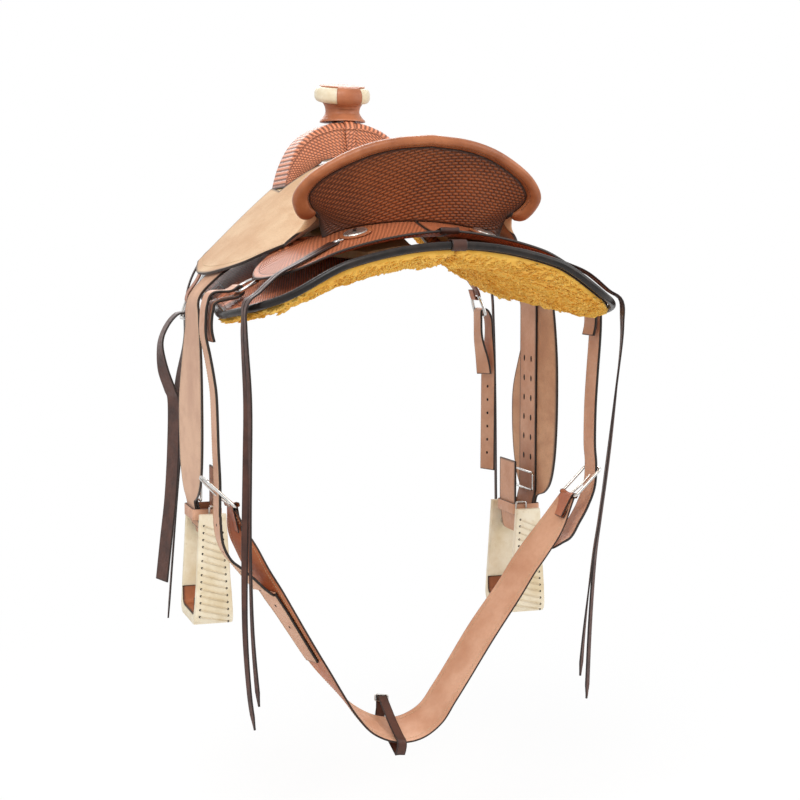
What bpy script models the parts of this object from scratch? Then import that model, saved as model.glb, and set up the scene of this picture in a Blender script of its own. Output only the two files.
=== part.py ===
"""Wade saddle, built piece by piece from its tree outwards.

Metres.  +Y points to the horse's head, +X to the off side and +Z up.  The origin lies in the middle
plane, on the underside of the fleece where the horse's back is lowest behind the cantle.
"""
import math

import bmesh
import bpy
from mathutils import Matrix, Vector

for old in list(bpy.data.objects):
    bpy.data.objects.remove(old, do_unlink=True)

# Shape of the back that the saddle lies on: a ridge that is broad behind and steep at the withers
BACK_REAR_Y = -0.30
BACK_FRONT_Y = 0.25
SLOPE_REAR = 0.58
SLOPE_FRONT = 1.02
CROWN_REAR = 0.150
CROWN_FRONT = 0.080
EDGE_Z_REAR = -0.088
EDGE_Z_FRONT = -0.098
EDGE_X = 0.310
FLARE_LIFT = 0.0185
FLARE_START_Y = -0.24
FLARE_RUN = 0.11
FLARE_HALF_WIDTH = 0.16
FLARE_FADE = 0.11

UP = Vector((0.0, 0.0, 1.0))
FORWARD = Vector((0.0, 1.0, 0.0))
SHARP_DEGREES = 40

# Layers, as heights above the back measured square to it
GAP = 0.0003
LAYER_GAP = 0.0012
FLEECE_THICK = 0.0160
SKIRT_THICK = 0.0046
BAR_THICK = 0.0205
GROUND_SEAT_THICK = 0.0026
SEAT_THICK = 0.0042
JOCKEY_THICK = 0.0036

FLEECE_TOP = FLEECE_THICK
SKIRT_LOW = FLEECE_TOP + LAYER_GAP
SKIRT_TOP = SKIRT_LOW + SKIRT_THICK
BAR_LOW = SKIRT_TOP + LAYER_GAP
BAR_TOP = BAR_LOW + BAR_THICK
GROUND_SEAT_LOW = BAR_TOP + LAYER_GAP
GROUND_SEAT_TOP = GROUND_SEAT_LOW + GROUND_SEAT_THICK
JOCKEY_LOW = BAR_TOP + LAYER_GAP
JOCKEY_TOP = JOCKEY_LOW + JOCKEY_THICK
SEAT_LOW = JOCKEY_TOP + LAYER_GAP

# Skirts: rim of the off half in plan, from the rear ridge round to the front
SKIRT_REAR_Y = -0.352
SKIRT_FRONT_Y = 0.346
SKIRT_RIM = [
    (0.004, SKIRT_REAR_Y), (0.060, -0.3515), (0.120, -0.349), (0.170, -0.345), (0.225, -0.331),
    (0.262, -0.308), (0.292, -0.266), (0.311, -0.210), (0.317, -0.155), (0.307, -0.070),
    (0.298, 0.030), (0.290, 0.120), (0.281, 0.200), (0.262, 0.262), (0.236, 0.310),
    (0.200, 0.337), (0.140, 0.345), (0.100, SKIRT_FRONT_Y), (0.056, SKIRT_FRONT_Y - 0.001),
]
SKIRT_INNER = [
    (0.002, -0.346), (0.002, -0.300), (0.012, -0.200), (0.028, -0.050), (0.038, 0.100),
    (0.047, 0.250), (0.053, 0.340),
]
REAR_CORNER = (0.262, -0.308)
FRONT_CORNER = (0.236, 0.310)
BINDING_R = 0.0060
FLEECE_INSET = 0.0130

# Tree
BAR_REAR_Y = -0.235
BAR_FRONT_Y = 0.336
BAR_INNER_REAR = 0.036
BAR_INNER_FRONT = 0.052
BAR_OUTER_X = 0.150
BAR_TIP_NARROWING = 0.045
BAR_REAR_TAPER_Y = -0.160
BAR_TIP_THICK = 0.008
LEATHER_WIDTH = 0.075
LEATHER_Y = 0.1275
GROOVE_SIDE = 0.010
GROOVE_DEPTH = 0.0062
GROOVE_CROWN = 0.0034
LEATHER_LIFT = 0.010

FORK_COVER_THICK = 0.0040
FORK_OUTLINE = [
    (0.1255, 0.1383), (0.1235, 0.1515), (0.1185, 0.1730), (0.1100, 0.1960), (0.0970, 0.2200),
    (0.0780, 0.2395), (0.0550, 0.2525), (0.0240, 0.2620),
]
GULLET_OUTLINE = [
    (0.0560, 0.1843), (0.0555, 0.1862), (0.0540, 0.1876), (0.0510, 0.1890), (0.0460, 0.1903),
    (0.0380, 0.1918), (0.0270, 0.1932), (0.0120, 0.1940),
]
FORK_REAR_Y = 0.2058
FORK_FRONT_Y = 0.3300
FORK_LEAN = 0.16
FORK_EDGE_R = 0.016

HORN_Y = 0.270
HORN_TILT = 0.17
HORN_BASE_Z = 0.2620
HORN_BASE_R = 0.0420
HORN_NECK_R = 0.0315
HORN_POST_R = 0.0150
HORN_NECK_TOP = 0.2965
HORN_CAP_R = 0.0510
HORN_CAP_TOP = 0.3270

# Cantle: its rim seen from behind, from the top down the off side
CANTLE_RIM = [
    (0.000, -0.225, 0.205), (0.060, -0.222, 0.199), (0.110, -0.213, 0.186), (0.155, -0.200, 0.164),
    (0.188, -0.187, 0.140), (0.206, -0.174, 0.113), (0.201, -0.160, 0.090), (0.184, -0.147, 0.070),
]
CANTLE_CENTRE_Z = 0.115
CANTLE_BASE = [
    (0.000, -0.160), (0.050, -0.156), (0.085, -0.147), (0.110, -0.1405), (0.132, -0.1385), (0.149, -0.1400),
]
ROLL_TOP_R = 0.0090
ROLL_WING_R = 0.0140
ROLL_DEPTH_R = 0.0125
ROLL_SIDES = 10
CANTLE_HALF_THICK = 0.0065
CANTLE_BACK_THICK = 0.0040
CANTLE_DISH = 0.004
CANTLE_FOOT_PULL = 0.42
CANTLE_FOOT_LIFT = 0.010
CANTLE_TOP_PULL = 0.30
CANTLE_TOP_LEAN = 0.19
CANTLE_BASE_SPREAD = 0.55

# Seat leather with its side jockeys
SEAT_SEAM_X = 0.134
SEAT_FRONT_Y = 0.2000
SEAT_BASE_Y = -0.092
SEAT_BASE_BOW = 0.014
SEAT_ROWS = [-0.060, -0.025, 0.010, 0.045, 0.080, 0.115, 0.150, SEAT_FRONT_Y, 0.232, 0.262]
SEAT_EDGE = [
    (0.198, -0.087), (0.226, -0.066), (0.252, -0.043), (0.270, -0.005), (0.282, 0.040),
    (0.289, 0.080), (0.292, 0.120), (0.292, 0.158), (0.286, 0.192), (0.281, 0.214), (0.275, 0.238),
]

# Rear jockeys
JOCKEY_REAR = [
    (0.0015, -0.312), (0.060, -0.306), (0.120, -0.302), (0.170, -0.296), (0.216, -0.275),
    (0.250, -0.235), (0.264, -0.190), (0.262, -0.140), (0.245, -0.090), (0.206, -0.045),
]
JOCKEY_INNER = [
    (0.0015, -0.150), (0.050, -0.146), (0.085, -0.137), (0.112, -0.130), (0.136, -0.122), (0.156, -0.098),
    (0.172, -0.060),
]
JOCKEY_DROP = 0.004

CONCHO = (0.107, -0.178)
CONCHO_R = 0.0195
CONCHO_RISE = 0.0072
ROSETTE_R = 0.0270
ROSETTE_THICK = 0.0022
JOCKEY_TIE_WIDTH = 0.030
SKIRT_TIE_WIDTH = 0.024
TIE_THICK = 0.0022

# Hanging parts
SWING_X = 0.064
SWING_Z = 0.140
LEATHER_THICK = 0.0034
LEATHER_PLANE = 0.3112
FENDER_PLANE = 0.3151
FENDER_THICK = 0.0040
HOBBLE_TOP_Z = -0.4120
HOBBLE_WIDTH = 0.0200
HOBBLE_THICK = 0.0028
STIRRUP_X = 0.2890
STIRRUP_Y = 0.1300
BOLT_Z = -0.4580
BOLT_R = 0.0070
OFF_STIRRUP_DROP = 0.0190
STIRRUP_HALF_OUTER = 0.0660
STIRRUP_WALL = 0.0115
STIRRUP_TREAD = 0.0155
STIRRUP_TOP_Z = -0.4190
STIRRUP_BOTTOM_Z = -0.6100
STIRRUP_TOP_DEPTH = 0.0460
STIRRUP_TREAD_DEPTH = 0.0680
TREAD_LEATHER_THICK = 0.0025

DEE_WIRE_R = 0.0030
RIG_STRAP_WIDTH = 0.026
RIG_SLACK = 0.002
RIG_STRAP_THICK = 0.0028
FLANK_Y = -0.110
FLANK_WIDTH = 0.045
FLANK_THICK = 0.0042
FLANK_SWING = math.radians(3)
FLANK_PLAY = FLANK_WIDTH * 0.5 * math.sin(FLANK_SWING)
FLANK_LOOP = DEE_WIRE_R + FLANK_PLAY + GAP
FLANK_EDGE_X = 0.3290
REAR_BAR_X = 0.283
REAR_DEE_WIDTH = 0.062
REAR_DEE_RISE = 0.036
REAR_DEE_SINK = 0.04
BUCKLE_WIRE_R = 0.0026
# Lower and upper bar of each buckle frame, across and up
BUCKLE_BARS = {"left": [(0.2929, -0.3767), (0.3386, -0.3318)],
               "right": [(0.2885, -0.3865), (0.3362, -0.3400)]}
# Each billet's inner face below the swell of the skirt, across and up, and where its tail lies on the cinch
BILLET_FALL = {
    "left": [(0.3280, -0.135), (0.3220, -0.170), (0.3180, -0.206), (0.3160, -0.285), (0.3140, -0.340),
             (0.3150, -0.390), (0.3115, -0.430), (0.3000, -0.457), (0.2830, -0.4750), (0.2650, -0.494),
             (0.2470, -0.513)],
    "right": [(0.3325, -0.135), (0.3290, -0.185), (0.3262, -0.240), (0.3258, -0.300), (0.3285, -0.335),
              (0.3262, -0.372), (0.3140, -0.404), (0.2990, -0.430), (0.2800, -0.457)],
}
BILLET_TURN = 4
TAIL_GAP = 0.0007
TAIL_RISE = 0.0016
BILLET_TAIL = {"left": (0.232, 0.152), "right": (0.246, 0.132)}
CINCH_REAR_Y = -0.135
CINCH_THICK = 0.0034
# Cinch from its left end to its right one: its rear edge across and up, and the way over to its front edge
CINCH = [
    (-0.2912, -0.3798, -0.0020, 0.0497, -0.0010), (-0.2764, -0.4099, -0.0165, 0.0475, -0.0110),
    (-0.2570, -0.4420, -0.0215, 0.0540, -0.0135), (-0.2380, -0.4780, -0.0220, 0.0660, -0.0125),
    (-0.2170, -0.5130, -0.0212, 0.0682, -0.0122), (-0.1970, -0.5490, -0.0184, 0.0668, -0.0103),
    (-0.1770, -0.5850, -0.0156, 0.0665, -0.0087), (-0.1560, -0.6220, -0.0129, 0.0665, -0.0074),
    (-0.1350, -0.6580, -0.0090, 0.0670, -0.0052), (-0.1140, -0.6950, -0.0008, 0.0680, -0.0005),
    (-0.0920, -0.7310, 0.0069, 0.0676, 0.0046), (-0.0630, -0.7630, 0.0114, 0.0650, 0.0156),
    (-0.0230, -0.7800, 0.0050, 0.0660, 0.0235), (0.0180, -0.7770, -0.0089, 0.0660, 0.0244),
    (0.0520, -0.7550, -0.0170, 0.0630, 0.0190), (0.0750, -0.7220, -0.0190, 0.0620, 0.0150),
    (0.0980, -0.6880, -0.0190, 0.0630, 0.0140), (0.1430, -0.6200, -0.0190, 0.0640, 0.0140),
    (0.1900, -0.5530, -0.0170, 0.0640, 0.0120), (0.2170, -0.5120, -0.0180, 0.0600, 0.0130),
    (0.2400, -0.4820, -0.0190, 0.0560, 0.0150), (0.2668, -0.4422, -0.0180, 0.0490, 0.0130),
    (0.2868, -0.3886, -0.0030, 0.0497, 0.0020),
]
CINCH_STEPS = 84
CONNECTOR_X = -0.026
CONNECTOR_WIDTH = 0.017
CONNECTOR_LEAN = 0.012
CONNECTOR_STAND = 0.030
CONNECTOR_TIP = 0.016

FRONT_RIG_Y = 0.315
FRONT_BAR_X = 0.290
FRONT_BAR_Z = -0.095
FRONT_DEE_RISE = 0.036
FRONT_STRAP_WIDTH = 0.040
FRONT_DEE_WIDTH = FRONT_STRAP_WIDTH + 0.014
FRONT_BILLET_THICK = 0.0040
LATIGO_THICK = 0.0032
LATIGO_SWING = math.radians(15)
FRONT_LOOP = DEE_WIRE_R + FRONT_STRAP_WIDTH * 0.5 * math.sin(LATIGO_SWING) + GAP
LATIGO_TIP_Z = -0.578
OFF_BILLET_TIP_Z = -0.398
STRING_WIDTH = 0.010
THONG_WIDTH = 0.0125
THONG_SPREAD = 0.007
STRING_THICK = 0.0030

SIDES = (("left", -1.0), ("right", 1.0))


def material(name, colour, roughness, metallic=0.0):
    """Principled material of one plain colour."""
    made = bpy.data.materials.new(name)
    made.use_nodes = True
    shader = made.node_tree.nodes["Principled BSDF"]
    shader.inputs["Base Color"].default_value = (*colour, 1.0)
    shader.inputs["Roughness"].default_value = roughness
    shader.inputs["Metallic"].default_value = metallic
    made.diffuse_color = (*colour, 1.0)
    return made


WOOD = material("tree_wood", (0.45, 0.30, 0.16), 0.7)
RAWHIDE = material("rawhide", (0.78, 0.68, 0.50), 0.5)
SKIRTING = material("skirting_leather", (0.42, 0.17, 0.08), 0.45)
STAMPED = material("stamped_leather", (0.45, 0.20, 0.10), 0.5)
ROUGHOUT = material("roughout_leather", (0.68, 0.44, 0.25), 0.9)
BILLET = material("billet_leather", (0.55, 0.30, 0.18), 0.55)
BINDING = material("black_binding", (0.020, 0.017, 0.015), 0.35)
LACE = material("dark_string_leather", (0.090, 0.035, 0.025), 0.5)
FLEECE = material("fleece", (0.68, 0.38, 0.06), 1.0)
STEEL = material("stainless_steel", (0.62, 0.61, 0.60), 0.25, 1.0)


def clamp(value):
    return min(1.0, max(0.0, value))


def smooth(value):
    t = clamp(value)
    return t * t * (3.0 - 2.0 * t)


def along(y, rear, front):
    """Value that eases from the rear of the back to its front."""
    t = clamp((y - BACK_REAR_Y) / (BACK_FRONT_Y - BACK_REAR_Y))
    return rear + (front - rear) * (0.5 * smooth(t) + 0.5 * t)


def back_height(x, y):
    """Height of the back: a hyperbola across, lifted a little at the rear ridge."""
    slope = along(y, SLOPE_REAR, SLOPE_FRONT)
    crown = along(y, CROWN_REAR, CROWN_FRONT)
    edge = along(y, EDGE_Z_REAR, EDGE_Z_FRONT)
    top = edge + math.hypot(slope * EDGE_X, crown)
    flare = smooth((FLARE_START_Y - y) / FLARE_RUN)
    fade = 1.0 - smooth((abs(x) - FLARE_HALF_WIDTH) / FLARE_FADE)
    return top - math.hypot(slope * x, crown) + FLARE_LIFT * flare * fade


def back_slope(x, y):
    slope = along(y, SLOPE_REAR, SLOPE_FRONT)
    crown = along(y, CROWN_REAR, CROWN_FRONT)
    return -slope * slope * x / math.hypot(slope * x, crown)


def on_back(x, y, height):
    """Point above the back whose distance square to it is height."""
    return Vector((x, y, back_height(x, y) + height * math.hypot(1.0, back_slope(x, y))))


def back_normal(x, y):
    step = 0.005
    rise = (back_height(x, y + step) - back_height(x, y - step)) / (2.0 * step)
    return Vector((-back_slope(x, y), -rise, 1.0)).normalized()


def smooth_line(points, count):
    """count + 1 points, evenly spaced, on a smooth curve through the given ones."""
    knots = [Vector(p) for p in points]
    dense = []
    steps = 12
    for i in range(len(knots) - 1):
        before = knots[i - 1] if i > 0 else knots[0] * 2.0 - knots[1]
        after = knots[i + 2] if i + 2 < len(knots) else knots[-1] * 2.0 - knots[-2]
        a, b = knots[i], knots[i + 1]
        for k in range(steps):
            t = k / steps
            tangent = (b - before) * t + (before * 2.0 - a * 5.0 + b * 4.0 - after) * t ** 2
            tangent += (a * 3.0 - before - b * 3.0 + after) * t ** 3
            dense.append(a + tangent * 0.5)
    dense.append(knots[-1])
    return even_line(dense, count)


def even_line(points, count):
    """count + 1 points, evenly spaced along straight runs through the given ones."""
    lengths = [0.0]
    for a, b in zip(points, points[1:]):
        lengths.append(lengths[-1] + (b - a).length)
    line = []
    k = 0
    for i in range(count + 1):
        target = lengths[-1] * i / count
        while k < len(points) - 2 and lengths[k + 1] < target:
            k += 1
        span = max(lengths[k + 1] - lengths[k], 1e-9)
        line.append(points[k].lerp(points[k + 1], (target - lengths[k]) / span))
    return line


def patch(near, far, first, last):
    """Grid of points filling four edge curves: rows run from near to far, columns along near."""
    rows = len(first) - 1
    columns = len(near) - 1
    grid = []
    for i in range(rows + 1):
        u = i / rows
        row = []
        for j in range(columns + 1):
            v = j / columns
            corners = near[0].lerp(near[-1], v).lerp(far[0].lerp(far[-1], v), u)
            row.append(near[j].lerp(far[j], u) + first[i].lerp(last[i], v) - corners)
        grid.append(row)
    return grid


def finish(name, bm, surface):
    """Turn a bmesh into a named object, its faces outwards and its round parts smooth."""
    bmesh.ops.recalc_face_normals(bm, faces=bm.faces)
    mesh = bpy.data.meshes.new(name)
    bm.to_mesh(mesh)
    bm.free()
    mesh.materials.append(surface)
    mesh.shade_smooth()
    mesh.set_sharp_from_angle(angle=math.radians(SHARP_DEGREES))
    made = bpy.data.objects.new(name, mesh)
    bpy.context.scene.collection.objects.link(made)
    return made


def slab(name, lower, upper, surface, skip=None):
    """Closed sheet between two grids of points; skip(i, j) leaves out a cell."""
    bm = bmesh.new()
    cells = [(i, j) for i in range(len(lower) - 1) for j in range(len(lower[0]) - 1)
             if skip is None or not skip(i, j)]
    used = sorted({(i + a, j + b) for i, j in cells for a in (0, 1) for b in (0, 1)})
    low = {key: bm.verts.new(lower[key[0]][key[1]]) for key in used}
    top = {key: bm.verts.new(upper[key[0]][key[1]]) for key in used}
    rim = {}
    for i, j in cells:
        loop = [(i, j), (i, j + 1), (i + 1, j + 1), (i + 1, j)]
        bm.faces.new([low[key] for key in loop])
        bm.faces.new([top[key] for key in reversed(loop)])
        for a, b in zip(loop, loop[1:] + loop[:1]):
            if (b, a) in rim:
                del rim[(b, a)]
            else:
                rim[(a, b)] = True
    for a, b in rim:
        bm.faces.new((low[b], low[a], top[a], top[b]))
    return finish(name, bm, surface)


def laid(name, plan, low, top, surface):
    """Sheet that lies over the back; low and top are heights, or functions of row, column and place."""
    def height(rule, i, j, p):
        return rule(i / (len(plan) - 1), j / (len(plan[0]) - 1), p) if callable(rule) else rule
    lower = [[on_back(p.x, p.y, height(low, i, j, p)) for j, p in enumerate(row)]
             for i, row in enumerate(plan)]
    upper = [[on_back(p.x, p.y, height(top, i, j, p)) for j, p in enumerate(row)]
             for i, row in enumerate(plan)]
    return slab(name, lower, upper, surface)


def mirrored(points, side):
    return [Vector((p[0] * side, *p[1:])) for p in points]


def loft(name, sections, surface, closed=False):
    """Body through closed sections of equal point counts, capped unless it closes on itself."""
    bm = bmesh.new()
    rings = [[bm.verts.new(p) for p in section] for section in sections]
    count = len(rings[0])
    pairs = list(zip(rings, rings[1:] + rings[:1])) if closed else list(zip(rings, rings[1:]))
    for a, b in pairs:
        for k in range(count):
            bm.faces.new((a[k], a[(k + 1) % count], b[(k + 1) % count], b[k]))
    if not closed:
        bm.faces.new(rings[0])
        bm.faces.new(list(reversed(rings[-1])))
    return finish(name, bm, surface)


def strap_sections(path, facing, widths, thickness):
    """Four-cornered sections of a strap; its inner face is on the path, its outer side faces out."""
    sections = []
    for k, point in enumerate(path):
        run = (path[min(k + 1, len(path) - 1)] - path[max(k - 1, 0)]).normalized()
        across = run.cross(facing[k]).normalized()
        out = across.cross(run).normalized() * thickness
        half = across * (widths[k] * 0.5)
        sections.append([point - half, point + half, point + half + out, point - half + out])
    return sections


def strap(name, path, facing, width, thickness, surface):
    """Strap along a path, of one width or a list of widths."""
    widths = width if isinstance(width, list) else [width] * len(path)
    return loft(name, strap_sections(path, facing, widths, thickness), surface)


def rod(name, points, radius, surface, cyclic=False, sides=8):
    """Round bar along points, or a flat ring of them, mitred at its corners."""
    points = [Vector(p) for p in points]
    count = len(points)
    middle = sum(points, Vector()) / count
    square = Vector()
    for k in range(count):
        square += (points[k - 1] - middle).cross(points[k] - middle)
    sections = []
    for k, point in enumerate(points):
        after = points[(k + 1) % count] if cyclic or k < count - 1 else point * 2.0 - points[k - 1]
        before = points[k - 1] if cyclic or k > 0 else point * 2.0 - after
        leave = (after - point).normalized()
        run = ((point - before).normalized() + leave).normalized()
        square = (square - run * square.dot(run)).normalized()
        other = run.cross(square) / run.dot(leave)
        sections.append([point + (square * math.cos(a) + other * math.sin(a)) * radius
                         for a in (2.0 * math.pi * i / sides for i in range(sides))])
    return loft(name, sections, surface, closed=cyclic)


def turned(name, profile, place, surface, segments=24, axis=UP, change=None):
    """Body turned from (radius, height) points; a radius of zero closes an end."""
    turn = UP.rotation_difference(axis)
    bm = bmesh.new()
    rings = []
    for radius, height in profile:
        count = 1 if radius == 0.0 else segments
        ring = []
        for k in range(count):
            angle = 2.0 * math.pi * k / segments
            p = Vector((radius * math.cos(angle), radius * math.sin(angle), height))
            p = turn @ p + Vector(place)
            ring.append(bm.verts.new(change(p) if change else p))
        rings.append(ring)
    closed = profile[0][0] > 0.0
    pairs = list(zip(rings, rings[1:] + rings[:1])) if closed else list(zip(rings, rings[1:]))
    for a, b in pairs:
        for k in range(segments):
            n = (k + 1) % segments
            corners = [a[k % len(a)], a[n % len(a)], b[n % len(b)], b[k % len(b)]]
            bm.faces.new(list(dict.fromkeys(corners)))
    return finish(name, bm, surface)


# Skirts, their fleece and their rolled binding

def plan_inset(line, distance):
    """Plan curve moved towards the inside, which lies to the left of its run."""
    moved = []
    for k, p in enumerate(line):
        run = (line[min(k + 1, len(line) - 1)] - line[max(k - 1, 0)]).normalized()
        moved.append(p + Vector((-run.y, run.x)) * distance)
    return moved


def nearest(line, place):
    return min(range(len(line)), key=lambda k: (line[k] - Vector(place)).length)


def skirt_plan(inset, inner_shift):
    """Grid over one skirt, rows from the ridge outwards and columns from the rear forwards."""
    rim = plan_inset(smooth_line(SKIRT_RIM, 160), inset)
    rear = nearest(rim, REAR_CORNER)
    front = nearest(rim, FRONT_CORNER)
    inner = [Vector((x + inner_shift, y)) for x, y in SKIRT_INNER]
    inner[0] = Vector((inner[0].x, rim[0].y))
    inner[-1] = Vector((inner[-1].x, rim[-1].y))
    rows, columns = 9, 18
    first = even_line([inner[0]] + rim[1:rear + 1], rows)
    last = even_line(list(reversed(rim[front:-1] + [inner[-1]])), rows)
    near = smooth_line(inner, columns)
    far = even_line(rim[rear:front + 1], columns)
    return patch(near, far, first, last)


def skirt_side(name, side):
    plan = [mirrored(row, side) for row in skirt_plan(BINDING_R + LAYER_GAP, 0.0)]
    laid("skirt_" + name, plan, SKIRT_LOW, SKIRT_TOP, SKIRTING)
    plan = [mirrored(row, side) for row in skirt_plan(FLEECE_INSET, 0.004)]
    laid("fleece_" + name, plan, 0.0, FLEECE_TOP, FLEECE)
    rim = mirrored(smooth_line(SKIRT_RIM, 44), side)
    middle = (SKIRT_LOW + SKIRT_TOP) * 0.5
    rod("skirt_binding_" + name, [on_back(p.x, p.y, middle) for p in rim], BINDING_R, BINDING)


# Tree

def bar_side(name, side):
    """Tree bar: tapered at the rear tip, with a crowned groove for the stirrup leather."""
    half = LEATHER_WIDTH * 0.5 + GROOVE_SIDE
    stations = [BAR_REAR_Y, -0.205, BAR_REAR_TAPER_Y, -0.110, -0.055, 0.000, 0.045,
                LEATHER_Y - half - 0.003, LEATHER_Y - half, LEATHER_Y - half * 0.5, LEATHER_Y,
                LEATHER_Y + half * 0.5, LEATHER_Y + half, LEATHER_Y + half + 0.003, 0.250, 0.295,
                BAR_FRONT_Y]
    rows = 5
    plan = []
    for i in range(rows + 1):
        row = []
        for y in stations:
            middle = (BAR_REAR_Y + BAR_FRONT_Y) * 0.5
            reach = abs(y - middle) / (BAR_FRONT_Y - middle)
            t = (y - BAR_REAR_Y) / (BAR_FRONT_Y - BAR_REAR_Y)
            inner = BAR_INNER_REAR + (BAR_INNER_FRONT - BAR_INNER_REAR) * t
            outer = BAR_OUTER_X - BAR_TIP_NARROWING * reach ** 6
            row.append(Vector(((inner + (outer - inner) * i / rows) * side, y)))
        plan.append(row)

    def top(_u, _v, p):
        height = BAR_TOP
        taper = smooth((BAR_REAR_TAPER_Y - p.y) / (BAR_REAR_TAPER_Y - BAR_REAR_Y))
        height -= (BAR_THICK - BAR_TIP_THICK) * taper
        reach = abs(p.y - LEATHER_Y)
        if reach <= half + 0.0001:
            height -= GROOVE_DEPTH + GROOVE_CROWN * reach / half
        return height
    laid("tree_bar_" + name, plan, BAR_LOW, top, WOOD)


def fork_contour():
    """Pairs of inner and outer fork points from the near side over to the off side."""
    half = list(zip(GULLET_OUTLINE, FORK_OUTLINE))
    off = [(Vector((i[0], i[1])), Vector((o[0], o[1]))) for i, o in reversed(half)]
    near = [(Vector((-i.x, i.y)), Vector((-o.x, o.y))) for i, o in reversed(off)]
    return near + off


def fork_section(inner, outer, grow):
    """Arch section from the front of the gullet, over the fork and down its rear face."""
    out = (outer - inner).normalized()
    tip = outer - out * (FORK_COVER_THICK + LAYER_GAP - grow)
    radius = FORK_EDGE_R
    corner, edge = tip - out * radius, tip - out * radius * 0.3
    path = [(inner, 0.0), (corner, 0.0), (edge, radius * 0.3), (tip, radius)]
    section = [Vector((p.x, fork_face(p, FORK_FRONT_Y, -1.0) + grow - back, p.y)) for p, back in path]
    section += [Vector((p.x, fork_face(p, FORK_REAR_Y, 1.0) - grow + back, p.y))
                for p, back in reversed(path)]
    return section


def fork_face(p, foot, way):
    """Station of the fork's front or rear face, which lean together towards the top."""
    return foot + way * (p.y - FORK_OUTLINE[0][1]) * FORK_LEAN


def fork():
    pairs = fork_contour()
    loft("fork_block", [fork_section(i, o, 0.0) for i, o in pairs], WOOD)
    lower = [fork_section(i, o, LAYER_GAP) for i, o in pairs]
    upper = [fork_section(i, o, FORK_COVER_THICK + LAYER_GAP) for i, o in pairs]
    cover = slab("fork_cover", lower, upper, STAMPED)
    bm = bmesh.new()
    bmesh.ops.create_cone(bm, cap_ends=True, segments=24, radius1=HORN_POST_R + 0.001,
                          radius2=HORN_POST_R + 0.001, depth=0.012)
    bmesh.ops.translate(bm, verts=bm.verts, vec=(0.0, HORN_Y, HORN_BASE_Z))
    cutter = finish("horn_post_hole", bm, WOOD)
    cutter.hide_render = True
    cutter.display_type = "WIRE"
    hole = cover.modifiers.new("post_hole", "BOOLEAN")
    hole.operation = "DIFFERENCE"
    hole.solver = "EXACT"
    hole.object = cutter


def horn_lean(p):
    """Tip the horn's upper part up at the front."""
    share = clamp((p.z - HORN_BASE_Z) / (HORN_NECK_TOP - HORN_BASE_Z))
    return Vector((p.x, p.y, p.z + (p.y - HORN_Y) * HORN_TILT * smooth(share)))


def horn():
    block_top = HORN_BASE_Z - FORK_COVER_THICK - LAYER_GAP
    place = (0.0, HORN_Y, 0.0)
    post = [(0.0, block_top + GAP), (HORN_POST_R, block_top + GAP), (HORN_POST_R, HORN_NECK_TOP - 0.004),
            (HORN_POST_R, HORN_NECK_TOP), (0.0, HORN_NECK_TOP)]
    turned("horn_post", post, place, STEEL, change=horn_lean)
    inside = HORN_POST_R + GAP
    foot = HORN_BASE_Z + GAP
    wrap = [(inside, foot), (HORN_BASE_R, foot), (HORN_BASE_R - 0.002, foot + 0.0045),
            (HORN_NECK_R + 0.003, foot + 0.0095), (HORN_NECK_R, HORN_BASE_Z + 0.0170),
            (HORN_NECK_R + 0.0008, HORN_NECK_TOP - 0.008), (HORN_NECK_R + 0.005, HORN_NECK_TOP),
            (inside, HORN_NECK_TOP)]
    turned("horn_wrap", wrap, place, SKIRTING, change=horn_lean)
    low = HORN_NECK_TOP + GAP
    cap = [(0.0, low), (HORN_CAP_R - 0.010, low), (HORN_CAP_R - 0.003, low + 0.004),
           (HORN_CAP_R, low + 0.011), (HORN_CAP_R - 0.0005, HORN_CAP_TOP - 0.010),
           (HORN_CAP_R - 0.005, HORN_CAP_TOP - 0.003), (HORN_CAP_R - 0.012, HORN_CAP_TOP),
           (0.0, HORN_CAP_TOP)]
    turned("horn_cap", cap, place, RAWHIDE, segments=32, change=horn_lean)


def ground_seat():
    plan = [[Vector((x, y)) for x in (-0.100, -0.075, -0.050, -0.025, 0.0, 0.025, 0.050, 0.075, 0.100)]
            for y in (-0.066, -0.030, 0.010, 0.050, 0.090, 0.130, 0.165, 0.192)]
    laid("ground_seat", plan, GROUND_SEAT_LOW, GROUND_SEAT_TOP, SKIRTING)


# Cantle and seat

def cantle_outward(p):
    """Direction in which the cantle's rim faces, away from the middle of its dish."""
    away = Vector((p.x, 0.0, p.z - CANTLE_CENTRE_Z))
    return Vector((away.x * 0.8, 0.0, away.z * 1.6)).normalized()


def rim_line(count):
    """Rim from the near end over the top to the off end, with the roll's radius at each point."""
    half = smooth_line(CANTLE_RIM, count)
    line = mirrored(reversed(half[1:]), -1.0) + half
    total = len(line) - 1
    radii = [ROLL_TOP_R + (ROLL_WING_R - ROLL_TOP_R) * abs(2.0 * k / total - 1.0) ** 2
             for k in range(total + 1)]
    return line, radii


def rim_inner(count, forward, wing_forward):
    """Points just inside the roll, moved forwards from the middle of the cantle's thickness."""
    line, radii = rim_line(count)
    inside = []
    for k, (p, radius) in enumerate(zip(line, radii)):
        out = cantle_outward(p)
        wing = (k / count - 1.0) ** 2
        ahead = forward + (wing_forward - forward) * wing
        inside.append(p - out * (radius * 2.0 + LAYER_GAP) + Vector((0.0, ahead, 0.0)))
    return inside


def bezier(a, b, c, d, t):
    return a * (1 - t) ** 3 + b * (3 * t * (1 - t) ** 2) + c * (3 * t * t * (1 - t)) + d * t ** 3


SEAT_INNER_COLUMNS = 5
SEAT_OUTER_COLUMNS = 6
CANTLE_ROWS = 6


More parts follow.
